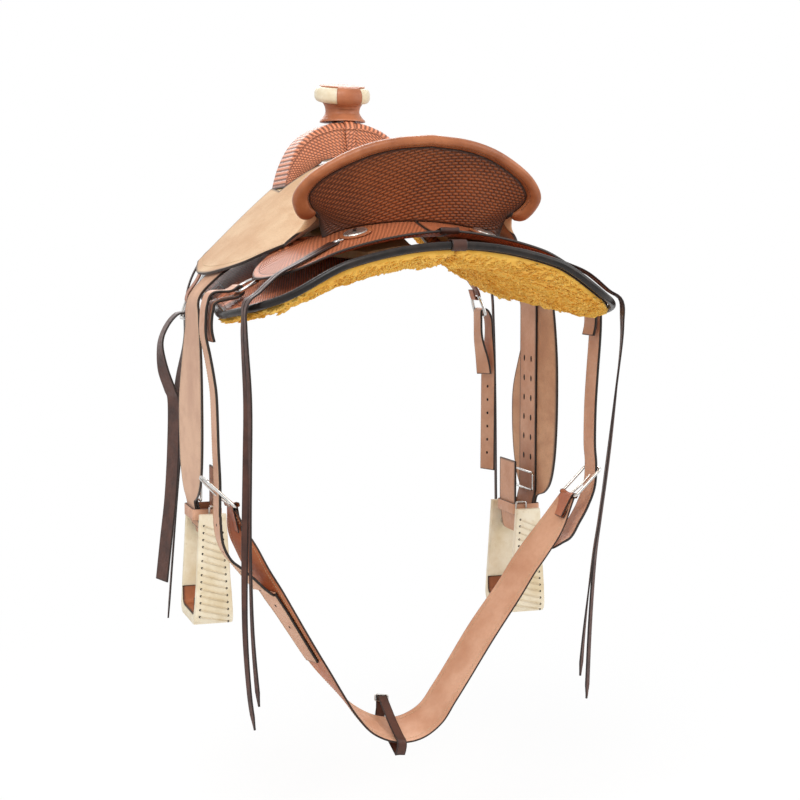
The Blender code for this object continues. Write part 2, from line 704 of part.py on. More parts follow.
def seat_row(y, edge):
    """Points from the near jockey's edge to the off one, along the seat at station y."""
    half = []
    for j in range(SEAT_INNER_COLUMNS):
        x = SEAT_SEAM_X * j / SEAT_INNER_COLUMNS
        half.append(Vector((x, min(y, SEAT_FRONT_Y))))
    for j in range(SEAT_OUTER_COLUMNS + 1):
        t = j / SEAT_OUTER_COLUMNS
        half.append(Vector((SEAT_SEAM_X, y)).lerp(Vector(edge), t))
    return mirrored(reversed(half[1:]), -1.0) + half


def seat_base_row():
    """Row of the seat where the cantle starts to rise."""
    half = []
    for j in range(SEAT_INNER_COLUMNS + SEAT_OUTER_COLUMNS + 1):
        t = j / (SEAT_INNER_COLUMNS + SEAT_OUTER_COLUMNS)
        x = SEAT_EDGE[0][0] * t
        bow = SEAT_BASE_BOW * math.sin(math.pi * t)
        half.append(Vector((x, SEAT_BASE_Y + bow + (SEAT_EDGE[0][1] - SEAT_BASE_Y) * t)))
    return mirrored(reversed(half[1:]), -1.0) + half


def cantle_front_rows(drop):
    """Rows that climb the front of the cantle from the seat to the roll."""
    base = [on_back(p.x, p.y, max(SEAT_LOW - drop, JOCKEY_TOP + GAP * 2.0)) for p in seat_base_row()]
    columns = (len(base) - 1) // 2
    top = rim_inner(columns, CANTLE_HALF_THICK - drop, ROLL_DEPTH_R + LAYER_GAP - drop)
    rows = []
    for i in range(CANTLE_ROWS + 1):
        t = i / CANTLE_ROWS
        row = []
        for a, d in zip(base, top):
            reach = (d - a).length
            b = a + UP * CANTLE_FOOT_LIFT - FORWARD * (reach * CANTLE_FOOT_PULL)
            fall = cantle_outward(d).lerp(UP, 0.5) * CANTLE_TOP_PULL
            c = d + (FORWARD * CANTLE_TOP_LEAN - fall) * reach
            row.append(bezier(a, b, c, d, t))
        rows.append(row)
    return rows


def cantle_rear_rows(drop):
    """Rows that climb the dished rear of the cantle from the rear jockeys to the roll."""
    columns = SEAT_INNER_COLUMNS + SEAT_OUTER_COLUMNS
    dense = smooth_line(CANTLE_BASE, columns * 10)
    crowd = [1.0 - (1.0 - j / columns) ** CANTLE_BASE_SPREAD for j in range(columns + 1)]
    base_plan = [dense[round(share * columns * 10)] for share in crowd]
    base_plan = mirrored(reversed(base_plan[1:]), -1.0) + base_plan
    base = [on_back(p.x, p.y + drop, JOCKEY_TOP + GAP * 2.0) for p in base_plan]
    top = rim_inner(columns, -CANTLE_HALF_THICK + drop, -CANTLE_HALF_THICK + drop)
    rows = []
    for i in range(5):
        t = i / 4
        dish = CANTLE_DISH * math.sin(math.pi * t)
        rows.append([a.lerp(d, t) + Vector((0.0, dish, 0.0)) for a, d in zip(base, top)])
    return rows


def thickened(rows, thickness):
    """Grid moved square to itself by thickness, up or forwards."""
    moved = []
    for i, row in enumerate(rows):
        line = []
        for j, p in enumerate(row):
            down = rows[min(i + 1, len(rows) - 1)][j] - rows[max(i - 1, 0)][j]
            over = row[min(j + 1, len(row) - 1)] - row[max(j - 1, 0)]
            line.append(p + over.cross(down).normalized() * thickness)
        moved.append(line)
    return moved


def seat_leather():
    """Seat, side jockeys and the front of the cantle as one leather."""
    climb = cantle_front_rows(0.0)
    rows = list(reversed(climb))
    edges = smooth_line(SEAT_EDGE, len(SEAT_ROWS))[1:]
    for y, edge in zip(SEAT_ROWS, edges):
        rows.append([on_back(p.x, p.y, SEAT_LOW) for p in seat_row(y, edge)])
    upper = thickened(rows, SEAT_THICK)
    middle = (len(rows[0]) - 1) // 2
    first_open = len(climb) + SEAT_ROWS.index(SEAT_FRONT_Y)

    def under_fork(i, j):
        return i >= first_open and middle - SEAT_INNER_COLUMNS <= j < middle + SEAT_INNER_COLUMNS
    slab("seat_leather", rows, upper, ROUGHOUT, skip=under_fork)


def cantle():
    front = cantle_front_rows(LAYER_GAP * 2.0)
    rear = cantle_rear_rows(CANTLE_BACK_THICK + LAYER_GAP * 2.0)
    cut = 4
    sections = []
    for j in range(cut, len(front[0]) - cut):
        rise = [row[j] for row in front]
        fall = [row[j] for row in reversed(rear)]
        sections.append(rise + fall)
    loft("cantle_board", sections, WOOD)
    outer = cantle_rear_rows(0.0)
    inner = cantle_rear_rows(CANTLE_BACK_THICK)
    slab("cantle_back", inner, outer, STAMPED)
    line, radii = rim_line(SEAT_INNER_COLUMNS + SEAT_OUTER_COLUMNS)
    sections = []
    for p, radius in zip(line, radii):
        out = cantle_outward(p)
        centre = p - out * radius
        turns = [2.0 * math.pi * k / ROLL_SIDES for k in range(ROLL_SIDES)]
        sections.append([centre + out * (radius * math.cos(a)) + FORWARD * (ROLL_DEPTH_R * math.sin(a))
                         for a in turns])
    loft("cantle_roll", sections, SKIRTING)


# Rear jockeys, conchos and strings

def rear_jockey(name, side):
    near = smooth_line(JOCKEY_INNER, 14)
    far = smooth_line(JOCKEY_REAR, 14)
    plan = patch(near, far, even_line([near[0], far[0]], 5), even_line([near[-1], far[-1]], 5))
    plan = [mirrored(row, side) for row in plan]

    def low(u, v, _p):
        return JOCKEY_LOW - JOCKEY_DROP * u * v

    def top(u, v, p):
        return low(u, v, p) + JOCKEY_THICK
    laid("rear_jockey_" + name, plan, low, top, STAMPED)


def connectors():
    """Small straps that join the two rear jockeys and the two skirts at the ridge."""
    edge = JOCKEY_REAR[0][1]
    over, under = JOCKEY_TOP + LAYER_GAP, JOCKEY_LOW - LAYER_GAP
    line = [(edge + 0.030, over), (edge + 0.002, over), (edge - 0.0018, over - 0.0015),
            (edge - 0.0018, under + 0.0015), (edge + 0.002, under)]
    fold_strap("jockey_connector", line, JOCKEY_TIE_WIDTH)
    middle = (SKIRT_LOW + SKIRT_TOP) * 0.5
    reach = BINDING_R + GAP * 2.0
    line = [(SKIRT_REAR_Y + 0.028, SKIRT_TOP + 0.0014), (SKIRT_REAR_Y + 0.006, middle + reach),
            (SKIRT_REAR_Y, middle + reach), (SKIRT_REAR_Y - reach * 0.75, middle + reach * 0.72),
            (SKIRT_REAR_Y - reach, middle), (SKIRT_REAR_Y - reach * 0.75, middle - reach * 0.72),
            (SKIRT_REAR_Y, middle - reach)]
    fold_strap("skirt_connector", line, SKIRT_TIE_WIDTH)


def fold_strap(name, line, width):
    """Short strap across the ridge along (y, height) points."""
    path = [on_back(0.0, y, h) for y, h in line]
    facing = []
    for k in range(len(path)):
        run = path[min(k + 1, len(path) - 1)] - path[max(k - 1, 0)]
        facing.append(Vector((0.0, run.z, -run.y)))
    strap(name, path, facing, width, TIE_THICK, LACE)


def rear_concho(name, side):
    x, y = CONCHO
    base = on_back(x * side, y, JOCKEY_TOP + 0.0009)
    profile = [(0.0, 0.0), (ROSETTE_R, 0.0), (ROSETTE_R, ROSETTE_THICK), (CONCHO_R, ROSETTE_THICK),
               (CONCHO_R - 0.001, CONCHO_RISE * 0.55), (CONCHO_R * 0.55, CONCHO_RISE * 0.9),
               (0.0, CONCHO_RISE)]
    turned("rear_concho_" + name, profile, base, STEEL, segments=20, axis=back_normal(x * side, y))


def rear_string(name, side):
    """Thong from the concho: two tails that run over the skirt's edge and hang."""
    over = [(0.146, -0.194), (0.188, -0.222), (0.222, -0.246)]
    path = [on_back(x, y, JOCKEY_TOP + GAP * 2.0) for x, y in over]
    facing = [back_normal(x, y) for x, y in over]
    path += [on_back(0.252, -0.258, JOCKEY_TOP - 0.001), on_back(0.284, -0.2655, SKIRT_TOP + 0.014)]
    facing += [back_normal(0.252, -0.258), back_normal(0.284, -0.2655)]
    fall = [(0.3030, -0.052), (0.3055, -0.085), (0.3045, -0.120)]
    if side < 0:
        fall += [(0.3010, -0.200), (0.3020, -0.300), (0.3040, -0.420), (0.3030, -0.540), (0.2960, -0.640),
                 (0.2880, -0.697)]
    else:
        fall += [(0.2980, -0.180), (0.2850, -0.290), (0.2700, -0.400), (0.2600, -0.470), (0.2500, -0.580),
                 (0.2430, -0.694)]
    path += [Vector((x, -0.2725, z)) for x, z in fall]
    turn = [(0.87, -0.50), (0.84, -0.54), (0.70, -0.71), (0.50, -0.86)]
    turn = turn[:1] * len(fall) if side < 0 else turn + [(0.35, -0.93)] * (len(fall) - len(turn))
    facing += [Vector((x, y, 0.15)) for x, y in turn]
    path, facing = [smooth_line(line, 22) for line in (path, facing)]
    down = []
    for k, (p, f) in enumerate(zip(path, facing)):
        run = (path[min(k + 1, len(path) - 1)] - path[max(k - 1, 0)]).normalized()
        across = run.cross(f).normalized() * THONG_SPREAD
        down.append((p - across, p + across))
    first = path[0] + (path[0] - path[1]).normalized() * THONG_SPREAD
    line = [pair[0] for pair in reversed(down)] + [first] + [pair[1] for pair in down]
    turns = list(reversed(facing)) + [facing[0]] + facing
    line = [Vector((p.x * side, p.y, p.z)) for p in line]
    turns = [Vector((f.x * side, f.y, f.z)) for f in turns]
    strap("rear_string_" + name, line, turns, THONG_WIDTH, STRING_THICK, LACE)


def front_string(name, side):
    """Concho string in front of the side jockey; the off one hangs outside its billet."""
    hang = 0.278 if side < 0 else 0.334
    tip = 0.316 if side < 0 else 0.346
    path = [on_back(0.188, 0.289, SKIRT_TOP + 0.0152), on_back(0.222, 0.322, SKIRT_TOP + 0.0150),
            Vector((hang - 0.030, 0.352, 0.010)), Vector((hang - 0.006, 0.361, -0.045)),
            Vector((hang, 0.362, -0.120)), Vector((hang + 0.004, 0.362, -0.260)),
            Vector((hang + (tip - hang) * 0.6, 0.362, -0.480)), Vector((tip, 0.362, -0.660))]
    path = smooth_line(path, 20)
    facing = [back_normal(0.25, 0.3)] * 5 + [Vector((1.0, 0.0, 0.1))] * 16
    path = [Vector((p.x * side, p.y, p.z)) for p in path]
    facing = [Vector((f.x * side, f.y, f.z)) for f in facing]
    strap("front_string_" + name, path, facing, STRING_WIDTH, STRING_THICK, LACE)


def front_concho(name, side):
    x, y = 0.176, 0.276
    base = on_back(x * side, y, SKIRT_TOP + 0.0190)
    normal = back_normal(x * side, y)
    profile = [(0.0, -0.0186), (0.006, -0.0186), (0.006, 0.0), (0.024, 0.0), (0.024, ROSETTE_THICK),
               (0.018, ROSETTE_THICK),
               (0.017, 0.0038), (0.010, 0.0060), (0.0, 0.0066)]
    turned("front_concho_" + name, profile, base, STEEL, segments=20, axis=normal)


# Rigging

def dee(name, bar, width, rise, upward, flat):
    """Dee with a straight bar along Y, and a bow whose flat top lies rise above it."""
    half = width * 0.5
    shape = [(-half, 0.0), (half, 0.0), (half, 0.35), (half - 0.002, 0.68), (half - 0.006, 0.90), (flat, 1.0)]
    shape += [(-y, t) for y, t in reversed(shape[2:])]
    points = [bar + upward * (rise * t) + Vector((0.0, y, 0.0)) for y, t in shape]
    rod(name, points, DEE_WIRE_R, STEEL, cyclic=True)


def rig_strap(name, line, top, upward, normal, width):
    """Strap that comes along line, goes round the dee's flat top and ends folded over itself."""
    clear = DEE_WIRE_R + GAP
    loop = [(0.010, -clear), (-clear * 0.5, -clear), (-clear, -clear * 0.5), (-clear, clear * 0.5),
            (-clear * 0.5, clear), (0.014, clear)]
    path = line + [top + upward * a + normal * b for a, b in loop]
    facing = []
    for k in range(len(path)):
        run = path[min(k + 1, len(path) - 1)] - path[max(k - 1, 0)]
        out = run.cross(FORWARD)
        facing.append(out if out.dot(normal) * (1 if k > len(line) + 2 else -1) > 0.0 else -out)
    strap(name, path, facing, width, RIG_STRAP_THICK, SKIRTING)


def rear_bar(side):
    """Middle of the rear dee's bar, high enough for the billet to pass under it and swing."""
    return on_back(REAR_BAR_X * side, FLANK_Y, SKIRT_TOP + FLANK_PLAY + FLANK_THICK + FLANK_LOOP + LAYER_GAP)


def rear_rigging(name, side):
    """Rear dee lying on the skirt, and the strap that ties it to the tree."""
    normal = back_normal(REAR_BAR_X * side, FLANK_Y)
    normal = Vector((normal.x, 0.0, normal.z)).normalized()
    upward = Vector((-abs(normal.z) * side, 0.0, abs(normal.x)))
    bar = rear_bar(side)
    upward = (upward - normal * REAR_DEE_SINK).normalized()
    rise = REAR_DEE_RISE
    dee("rear_dee_" + name, bar, REAR_DEE_WIDTH, rise, upward, RIG_STRAP_WIDTH * 0.5 + RIG_SLACK)
    top = bar + upward * rise
    start = on_back(0.176 * side, FLANK_Y, SKIRT_TOP + 0.0056)
    middle = on_back(0.215 * side, FLANK_Y, SKIRT_TOP + 0.0056)
    rig_strap("rear_rig_strap_" + name, [start, middle], top, upward, normal, RIG_STRAP_WIDTH)
    return bar, -Vector((-abs(normal.z) * side, 0.0, abs(normal.x))), normal


def cinch_rows():
    """Rows across the cinch's inner face, each with its rear edge, middle and front edge."""
    rear = [Vector((x, CINCH_REAR_Y, z)) for x, z, *_ in CINCH]
    front = [p + Vector(way) for p, (_, _, *way) in zip(rear, CINCH)]
    edges = zip(smooth_line(rear, CINCH_STEPS), smooth_line(front, CINCH_STEPS))
    return [[p, p.lerp(q, 0.5), q] for p, q in edges]


def flank_billet(name, side):
    """Billet folded round the dee's bar, down through the buckle frame and along the cinch's outside."""
    bar, run, normal = rear_rigging(name, side)
    wall = DEE_WIRE_R + FLANK_PLAY + GAP
    under = [(FLANK_EDGE_X - 0.0040, -0.116), (FLANK_EDGE_X - 0.0005, -0.100), (FLANK_EDGE_X, -0.084),
             (FLANK_EDGE_X - 0.0025, -0.066), (FLANK_EDGE_X - 0.0090, -0.052)]
    path = [Vector((x * side, FLANK_Y, z)) for x, z in under]
    path += [bar + run * 0.008 - normal * FLANK_LOOP, bar - run * (wall - 0.0012) - normal * FLANK_LOOP,
             bar - run * wall - normal * (FLANK_LOOP - 0.0012),
             bar - run * wall + normal * (FLANK_LOOP - 0.0012),
             bar - run * (wall - 0.0012) + normal * FLANK_LOOP, bar + run * 0.012 + normal * FLANK_LOOP]
    swell = FLANK_EDGE_X + FLANK_THICK + 0.0008
    over = [(swell - 0.0110, -0.041), (swell - 0.0025, -0.058), (swell, -0.080), (swell, -0.105)]
    path += [Vector((x * side, FLANK_Y, z)) for x, z in over + BILLET_FALL[name]]
    facing = facing_outwards(path, side)
    start, tip = BILLET_TAIL[name]
    rows = cinch_rows()
    outside = thickened(rows, CINCH_THICK + TAIL_GAP)
    away = [(outside[k][1] - row[1]).normalized() for k, row in enumerate(rows)]
    for i in range(len(path) - BILLET_TURN, len(path)):
        k = nearest([row[1] for row in rows], path[i])
        share = (i - len(path) + BILLET_TURN + 1) / BILLET_TURN
        facing[i] = facing[i].normalized().lerp(away[k], smooth(share))
    tail = [k for k, row in enumerate(rows) if tip < row[1].x * side < start]
    for count, k in enumerate(tail if side < 0 else reversed(tail)):
        path.append(outside[k][1] + away[k] * (TAIL_RISE * (1.0 - smooth(count / BILLET_TURN))))
        facing.append(away[k])
    strap("flank_billet_" + name, path, facing, FLANK_WIDTH, FLANK_THICK, BILLET)


def flank_buckle(name, side):
    """Tilted frame: the cinch ends at its lower bar and the billet passes through it."""
    low, top = [Vector((x * side, FLANK_Y, z)) for x, z in BUCKLE_BARS[name]]
    half = FLANK_WIDTH * 0.5 + 0.006
    reach = (top - low).length
    c = 0.006
    shape = [(-half, c), (-half, reach - c), (-half + c, reach), (half - c, reach), (half, reach - c),
             (half, c), (half - c, 0.0), (-half + c, 0.0)]
    points = [low.lerp(top, a / reach) + FORWARD * y for y, a in shape]
    rod("flank_buckle_" + name, points, BUCKLE_WIRE_R, STEEL, cyclic=True)


def flank_cinch():
    """Cinch hanging in a deep curve between the two buckles, and the strap round its middle."""
    rows = cinch_rows()
    slab("flank_cinch", rows, thickened(rows, CINCH_THICK), BILLET)
    k = min(range(len(rows)), key=lambda i: abs(rows[i][1].x - CONNECTOR_X))
    run = (rows[k + 1][1] - rows[k - 1][1]).normalized()
    width = (rows[k][2] - rows[k][0]).length
    across = (rows[k][2] - rows[k][0]) / width
    out = across.cross(run).normalized()
    centre = rows[k][1] + out * (CINCH_THICK * 0.5)
    half = width * 0.5 + 0.0006
    deep = CINCH_THICK * 0.5 + 0.0014
    inner = [Vector((-half, -deep)), Vector((half + CONNECTOR_LEAN, -deep - CONNECTOR_STAND)),
             Vector((half, deep)), Vector((-half - 0.004, deep + CONNECTOR_TIP))]
    outer = [inner[0] + Vector((-0.0032, -0.0010)), inner[1] + Vector((0.0, -0.0040)),
             inner[2] + Vector((0.0030, 0.0024)), inner[3] + Vector((-0.0028, 0.0036))]
    inner = [centre + across * p.x + out * p.y for p in inner]
    outer = [centre + across * p.x + out * p.y for p in outer]
    belt("cinch_connector", inner, outer, run * (CONNECTOR_WIDTH * 0.5), LACE)


def belt(name, inner, outer, half_width, surface):
    """Flat ring between two outlines, as wide as twice half_width."""
    sections = []
    for a, b in zip(inner, outer):
        sections.append([a - half_width, a + half_width, b + half_width, b - half_width])
    loft(name, sections, surface, closed=True)


def front_rigging(name, side):
    """Front dee hanging below the skirt's front corner on its strap."""
    bar = Vector((FRONT_BAR_X * side, FRONT_RIG_Y, FRONT_BAR_Z))
    upward = Vector((-0.30 * side, 0.0, 0.954))
    normal = Vector((0.954 * side, 0.0, 0.30))
    dee("front_dee_" + name, bar, FRONT_DEE_WIDTH, FRONT_DEE_RISE, upward, RIG_STRAP_WIDTH * 0.5 + RIG_SLACK)
    top = bar + upward * FRONT_DEE_RISE
    start = [(0.168, 0.0006), (0.186, 0.0006), (0.205, 0.0012), (0.229, 0.0090)]
    line = [on_back(x * side, FRONT_RIG_Y, SKIRT_TOP + h) for x, h in start]
    line += [Vector((x * side, FRONT_RIG_Y, z)) for x, z in ((0.2490, 0.0020), (0.2630, -0.0260))]
    clear = DEE_WIRE_R + GAP
    loop = [(0.012, clear), (-clear * 0.5, clear), (-clear, clear * 0.5), (-clear, -clear * 0.5),
            (-clear * 0.5, -clear), (0.016, -clear)]
    path = line + [top + upward * a + normal * b for a, b in loop]
    strap("front_rig_strap_" + name, path, facing_outwards(path, side), RIG_STRAP_WIDTH, RIG_STRAP_THICK,
          SKIRTING)


def facing_outwards(path, side):
    """Directions square to a path that climbs inside, turns over and comes down outside."""
    facing = []
    for k in range(len(path)):
        run = path[min(k + 1, len(path) - 1)] - path[max(k - 1, 0)]
        facing.append(Vector((-run.z, 0.0, run.x)) * side)
    return facing


def dee_loop(side, line_under, line_over):
    """Strap path that climbs inside the front dee's bar, turns over it and comes down outside."""
    wall = FRONT_BAR_X - DEE_WIRE_R - GAP
    top = FRONT_BAR_Z + FRONT_LOOP
    turn = [(wall, FRONT_BAR_Z - FRONT_LOOP), (wall, top - 0.0015), (wall + 0.0015, top),
            (FRONT_BAR_X + 0.004, top)]
    path = [Vector((x * side, FRONT_RIG_Y, z)) for x, z in line_under + turn + line_over]
    return path, facing_outwards(path, side)


def latigo(side):
    """Near side latigo: a long loop over the dee, knotted below it, with a long tail."""
    under = [(0.3035, -0.248), (0.2975, -0.215), (0.2900, -0.165), (0.2868, -0.125)]
    over = [(0.3035, -0.0900), (0.3170, -0.105), (0.3285, -0.128), (0.3315, -0.152), (0.3265, -0.190),
            (0.3150, -0.225), (0.3085, -0.250), (0.3105, -0.335), (0.3165, -0.425), (0.3255, -0.500),
            (0.3345, LATIGO_TIP_Z)]
    path, facing = dee_loop(side, under, over)
    strap("latigo", path, facing, FRONT_STRAP_WIDTH, LATIGO_THICK, LACE)


def off_billet(side):
    """Off side billet folded over its dee."""
    under = [(0.2995, -0.210), (0.2955, -0.180), (0.2880, -0.140)]
    over = [(0.3000, -0.0935), (0.3050, -0.110), (0.3062, -0.150), (0.3055, -0.205), (0.3050, -0.300),
            (0.3045, OFF_BILLET_TIP_Z)]
    path, facing = dee_loop(side, under, over)
    strap("off_billet", path, facing, FRONT_STRAP_WIDTH, FRONT_BILLET_THICK, BILLET)


# Stirrup leathers, fenders and stirrups

def lowered(points, drop):
    """(x, z) points, those below the fender moved down by drop."""
    return [(x, z - drop * smooth((HOBBLE_TOP_Z + 0.10 - z) / 0.08)) for x, z in points]


def stirrup_leather(name, side, drop):
    """Leather from the tree's groove over the skirt, down and round the stirrup's bolt."""
    rest = BAR_TOP - GROOVE_DEPTH + GAP
    slope = [(x, rest + (x - SWING_X) * LEATHER_LIFT) for x in (SWING_X, 0.092, 0.120, 0.149)]
    slope += [(0.176, rest - 0.0015), (0.212, 0.0335), (0.250, 0.0330), (0.284, 0.0345)]
    stations = [LEATHER_Y + LEATHER_WIDTH * share for share in (-0.5, 0.0, 0.5)]
    rows = [[on_back(x * side, y, h) for y in stations] for x, h in slope]
    round_r = BOLT_R + 0.0006
    arc = [(STIRRUP_X + round_r * math.cos(a), BOLT_Z + round_r * math.sin(a))
           for a in (-math.pi * k / 6 for k in range(7))]
    fall = [(LEATHER_PLANE - 0.0085, -0.0480), (LEATHER_PLANE - 0.0012, -0.0680), (LEATHER_PLANE, -0.0900),
            (LEATHER_PLANE, -0.200), (LEATHER_PLANE, -0.300), (LEATHER_PLANE, -0.382),
            (LEATHER_PLANE - 0.0035, -0.404), (LEATHER_PLANE - 0.0090, -0.430)]
    climb = [(STIRRUP_X - round_r - 0.003, -0.440), (STIRRUP_X - round_r - 0.0055, -0.416),
             (STIRRUP_X - round_r - 0.0060, -0.380), (STIRRUP_X - round_r - 0.0060, -0.346)]
    rows += [[Vector((x * side, y, z)) for y in stations] for x, z in lowered(fall + arc + climb, drop)]
    slab("stirrup_leather_" + name, rows, thickened(rows, -LEATHER_THICK * side), BILLET)


def fender(name, side, drop):
    """Leaf-shaped fender outside the leather, narrowing to a neck above the stirrup."""
    slope = [(0.256, 0.0400, 0.042, 0.118), (0.284, 0.0415, 0.036, 0.116)]
    hang = [(-0.0025, -0.0500, 0.028, 0.116), (0.0, -0.0800, 0.022, 0.126), (0.0, -0.1200, 0.013, 0.152),
            (0.0, -0.1700, 0.006, 0.182), (0.0, -0.2300, 0.004, 0.210), (0.0, -0.2900, 0.006, 0.213),
            (0.0, -0.3400, 0.014, 0.205), (0.0, -0.3700, 0.030, 0.190), (0.0, -0.3880, 0.056, 0.174),
            (-0.0015, -0.3970, 0.086, 0.168), (-0.0035, -0.4080, 0.0905, 0.1645),
            (-0.0088, -0.4330, 0.0905, 0.1645), (-0.0125, -0.4480, 0.0905, 0.1645)]
    columns = 4
    shares = [k / columns for k in range(columns + 1)]
    rows = [[on_back(x * side, rear + (front - rear) * t, h) for t in shares] for x, h, rear, front in slope]
    line = lowered([(FENDER_PLANE + x, z) for x, z, _, _ in hang], drop)
    rows += [[Vector((x * side, rear + (front - rear) * t, z)) for t in shares]
             for (x, z), (_, _, rear, front) in zip(line, hang)]
    slab("fender_" + name, rows, thickened(rows, -FENDER_THICK * side), ROUGHOUT)


def rounded_rectangle(x0, x1, y0, y1, r):
    """Corner-rounded outline in plan, three points to a corner."""
    corners = [(x1 - r, y1 - r, 0.0), (x0 + r, y1 - r, 0.5), (x0 + r, y0 + r, 1.0), (x1 - r, y0 + r, 1.5)]
    points = []
    for cx, cy, turn in corners:
        for k in range(3):
            a = math.pi * (turn + k / 4.0)
            points.append((cx + r * math.cos(a), cy + r * math.sin(a)))
    return points


def hobble_strap(name, side, drop):
    """Strap buckled round both plies of the leather and the fender's neck."""
    inside = STIRRUP_X - BOLT_R - 0.0006 - 0.0060 - LEATHER_THICK - 0.0008
    outside = FENDER_PLANE + FENDER_THICK - 0.0020
    y0, y1 = LEATHER_Y - LEATHER_WIDTH * 0.5 - 0.0008, LEATHER_Y + LEATHER_WIDTH * 0.5 + 0.0008
    z = HOBBLE_TOP_Z - HOBBLE_WIDTH * 0.5 - drop
    t = HOBBLE_THICK
    inner = rounded_rectangle(inside, outside, y0, y1, 0.0020)
    outer = rounded_rectangle(inside - t, outside + t, y0 - t, y1 + t, 0.0020 + t)
    inner = [Vector((x * side, y, z)) for x, y in inner]
    outer = [Vector((x * side, y, z)) for x, y in outer]
    belt("hobble_strap_" + name, inner, outer, Vector((0.0, 0.0, HOBBLE_WIDTH * 0.5)), BILLET)
    wire = 0.0018
    y = y0 - t - wire - GAP
    x, half_x, half_z = inside + 0.011, 0.0095, HOBBLE_WIDTH * 0.5 + 0.004
    frame = [(-half_x, -half_z), (half_x, -half_z), (half_x, half_z), (-half_x, half_z)]
    rod("hobble_buckle_" + name, [((x + a) * side, y, z + b) for a, b in frame], wire, STEEL, cyclic=True)


def stirrup(name, side, drop):
    """Stirrup with open top: two rails joined by the tread, and a bolt between their tops."""
    outer = [(1.000, STIRRUP_TOP_Z), (1.006, -0.500), (1.022, -0.560), (1.010, -0.590), (0.930, -0.6045),
             (0.760, STIRRUP_BOTTOM_Z), (0.0, STIRRUP_BOTTOM_Z)]
    tread_z = STIRRUP_BOTTOM_Z + STIRRUP_TREAD
    wall = STIRRUP_WALL
    inner = [(0.0, STIRRUP_TOP_Z), (0.0, -0.500), (0.0008, -0.556), (-0.0010, tread_z + 0.012),
             (-0.0045, tread_z + 0.0035), (-0.0140, tread_z), (0.0, tread_z)]
    half_width = STIRRUP_HALF_OUTER
    outer = [(half_width * k, z) for k, z in outer]
    inner = [(half_width - wall + d, z) for d, z in inner[:-1]] + [(0.0, tread_z)]
    outer = [(-y, z) for y, z in outer] + [(y, z) for y, z in reversed(outer[:-1])]
    inner = [(-y, z) for y, z in inner] + [(y, z) for y, z in reversed(inner[:-1])]
    sections = []
    x = STIRRUP_X * side
    for (yo, zo), (yi, zi) in zip(outer, inner):
        share = (STIRRUP_TOP_Z - zo) / (STIRRUP_TOP_Z - STIRRUP_BOTTOM_Z)
        half = 0.5 * (STIRRUP_TOP_DEPTH + (STIRRUP_TREAD_DEPTH - STIRRUP_TOP_DEPTH) * share)
        corners = [(-half, yo, zo), (half, yo, zo), (half, yi, zi), (-half, yi, zi)]
        sections.append([Vector((x + a, STIRRUP_Y + b, z - drop)) for a, b, z in corners])
    body = loft("stirrup_" + name, sections, RAWHIDE)
    bm = bmesh.new()
    bmesh.ops.create_cone(bm, cap_ends=True, segments=16, radius1=BOLT_R + GAP, radius2=BOLT_R + GAP,
                          depth=half_width * 2.0 + 0.02)
    place = Matrix.Translation((x, STIRRUP_Y, BOLT_Z - drop)) @ Matrix.Rotation(math.radians(90), 4, "X")
    bmesh.ops.transform(bm, matrix=place, verts=bm.verts)
    cutter = finish("bolt_hole_" + name, bm, WOOD)
    cutter.hide_render = True
    cutter.display_type = "WIRE"
    hole = body.modifiers.new("bolt_hole", "BOOLEAN")
    hole.operation = "DIFFERENCE"
    hole.solver = "EXACT"
    hole.object = cutter
    reach = half_width + 0.0008
    head = reach + 0.0035
    rim = BOLT_R + 0.003
    profile = [(0.0, -head), (rim, -head), (rim, -reach), (BOLT_R, -reach), (BOLT_R, reach),
               (rim, reach), (rim, head), (0.0, head)]
    turned("stirrup_bolt_" + name, profile, (x, STIRRUP_Y, BOLT_Z - drop), STEEL, segments=16,
           axis=FORWARD)
    tread_leather(name, x, inner, drop)


def tread_leather(name, x, inner, drop):
    """Leather on the tread that turns a little way up both rails."""
    last = len(inner) - 1
    outline = [Vector((0.0, y, z)) for y, z in inner]
    ends = [outline[2].lerp(outline[3], 0.3), outline[last - 2].lerp(outline[last - 3], 0.3)]
    line = [ends[0]] + outline[3:last - 2] + [ends[1]]
    lower, upper = [], []
    half = STIRRUP_TREAD_DEPTH * 0.5 - 0.0015
    for k, p in enumerate(line):
        run = line[min(k + 1, len(line) - 1)] - line[max(k - 1, 0)]
        out = Vector((0.0, -run.z, run.y)).normalized()
        lower.append([Vector((x + a, STIRRUP_Y, -drop)) + p + out * (GAP * 1.5) for a in (-half, half)])
        upper.append([Vector((x + a, STIRRUP_Y, -drop)) + p + out * (GAP * 1.5 + TREAD_LEATHER_THICK)
                      for a in (-half, half)])
    slab("tread_leather_" + name, lower, upper, SKIRTING)


def pivot(name, place, nodes):
    """Empty on a joint's axis, parent of the nodes that swing about it."""
    empty = bpy.data.objects.new(name, None)
    empty.location = place
    bpy.context.scene.collection.objects.link(empty)
    for node in nodes:
        moving = bpy.data.objects[node]
        moving.parent = empty
        moving.matrix_parent_inverse = Matrix.Translation(-Vector(place))
    return empty


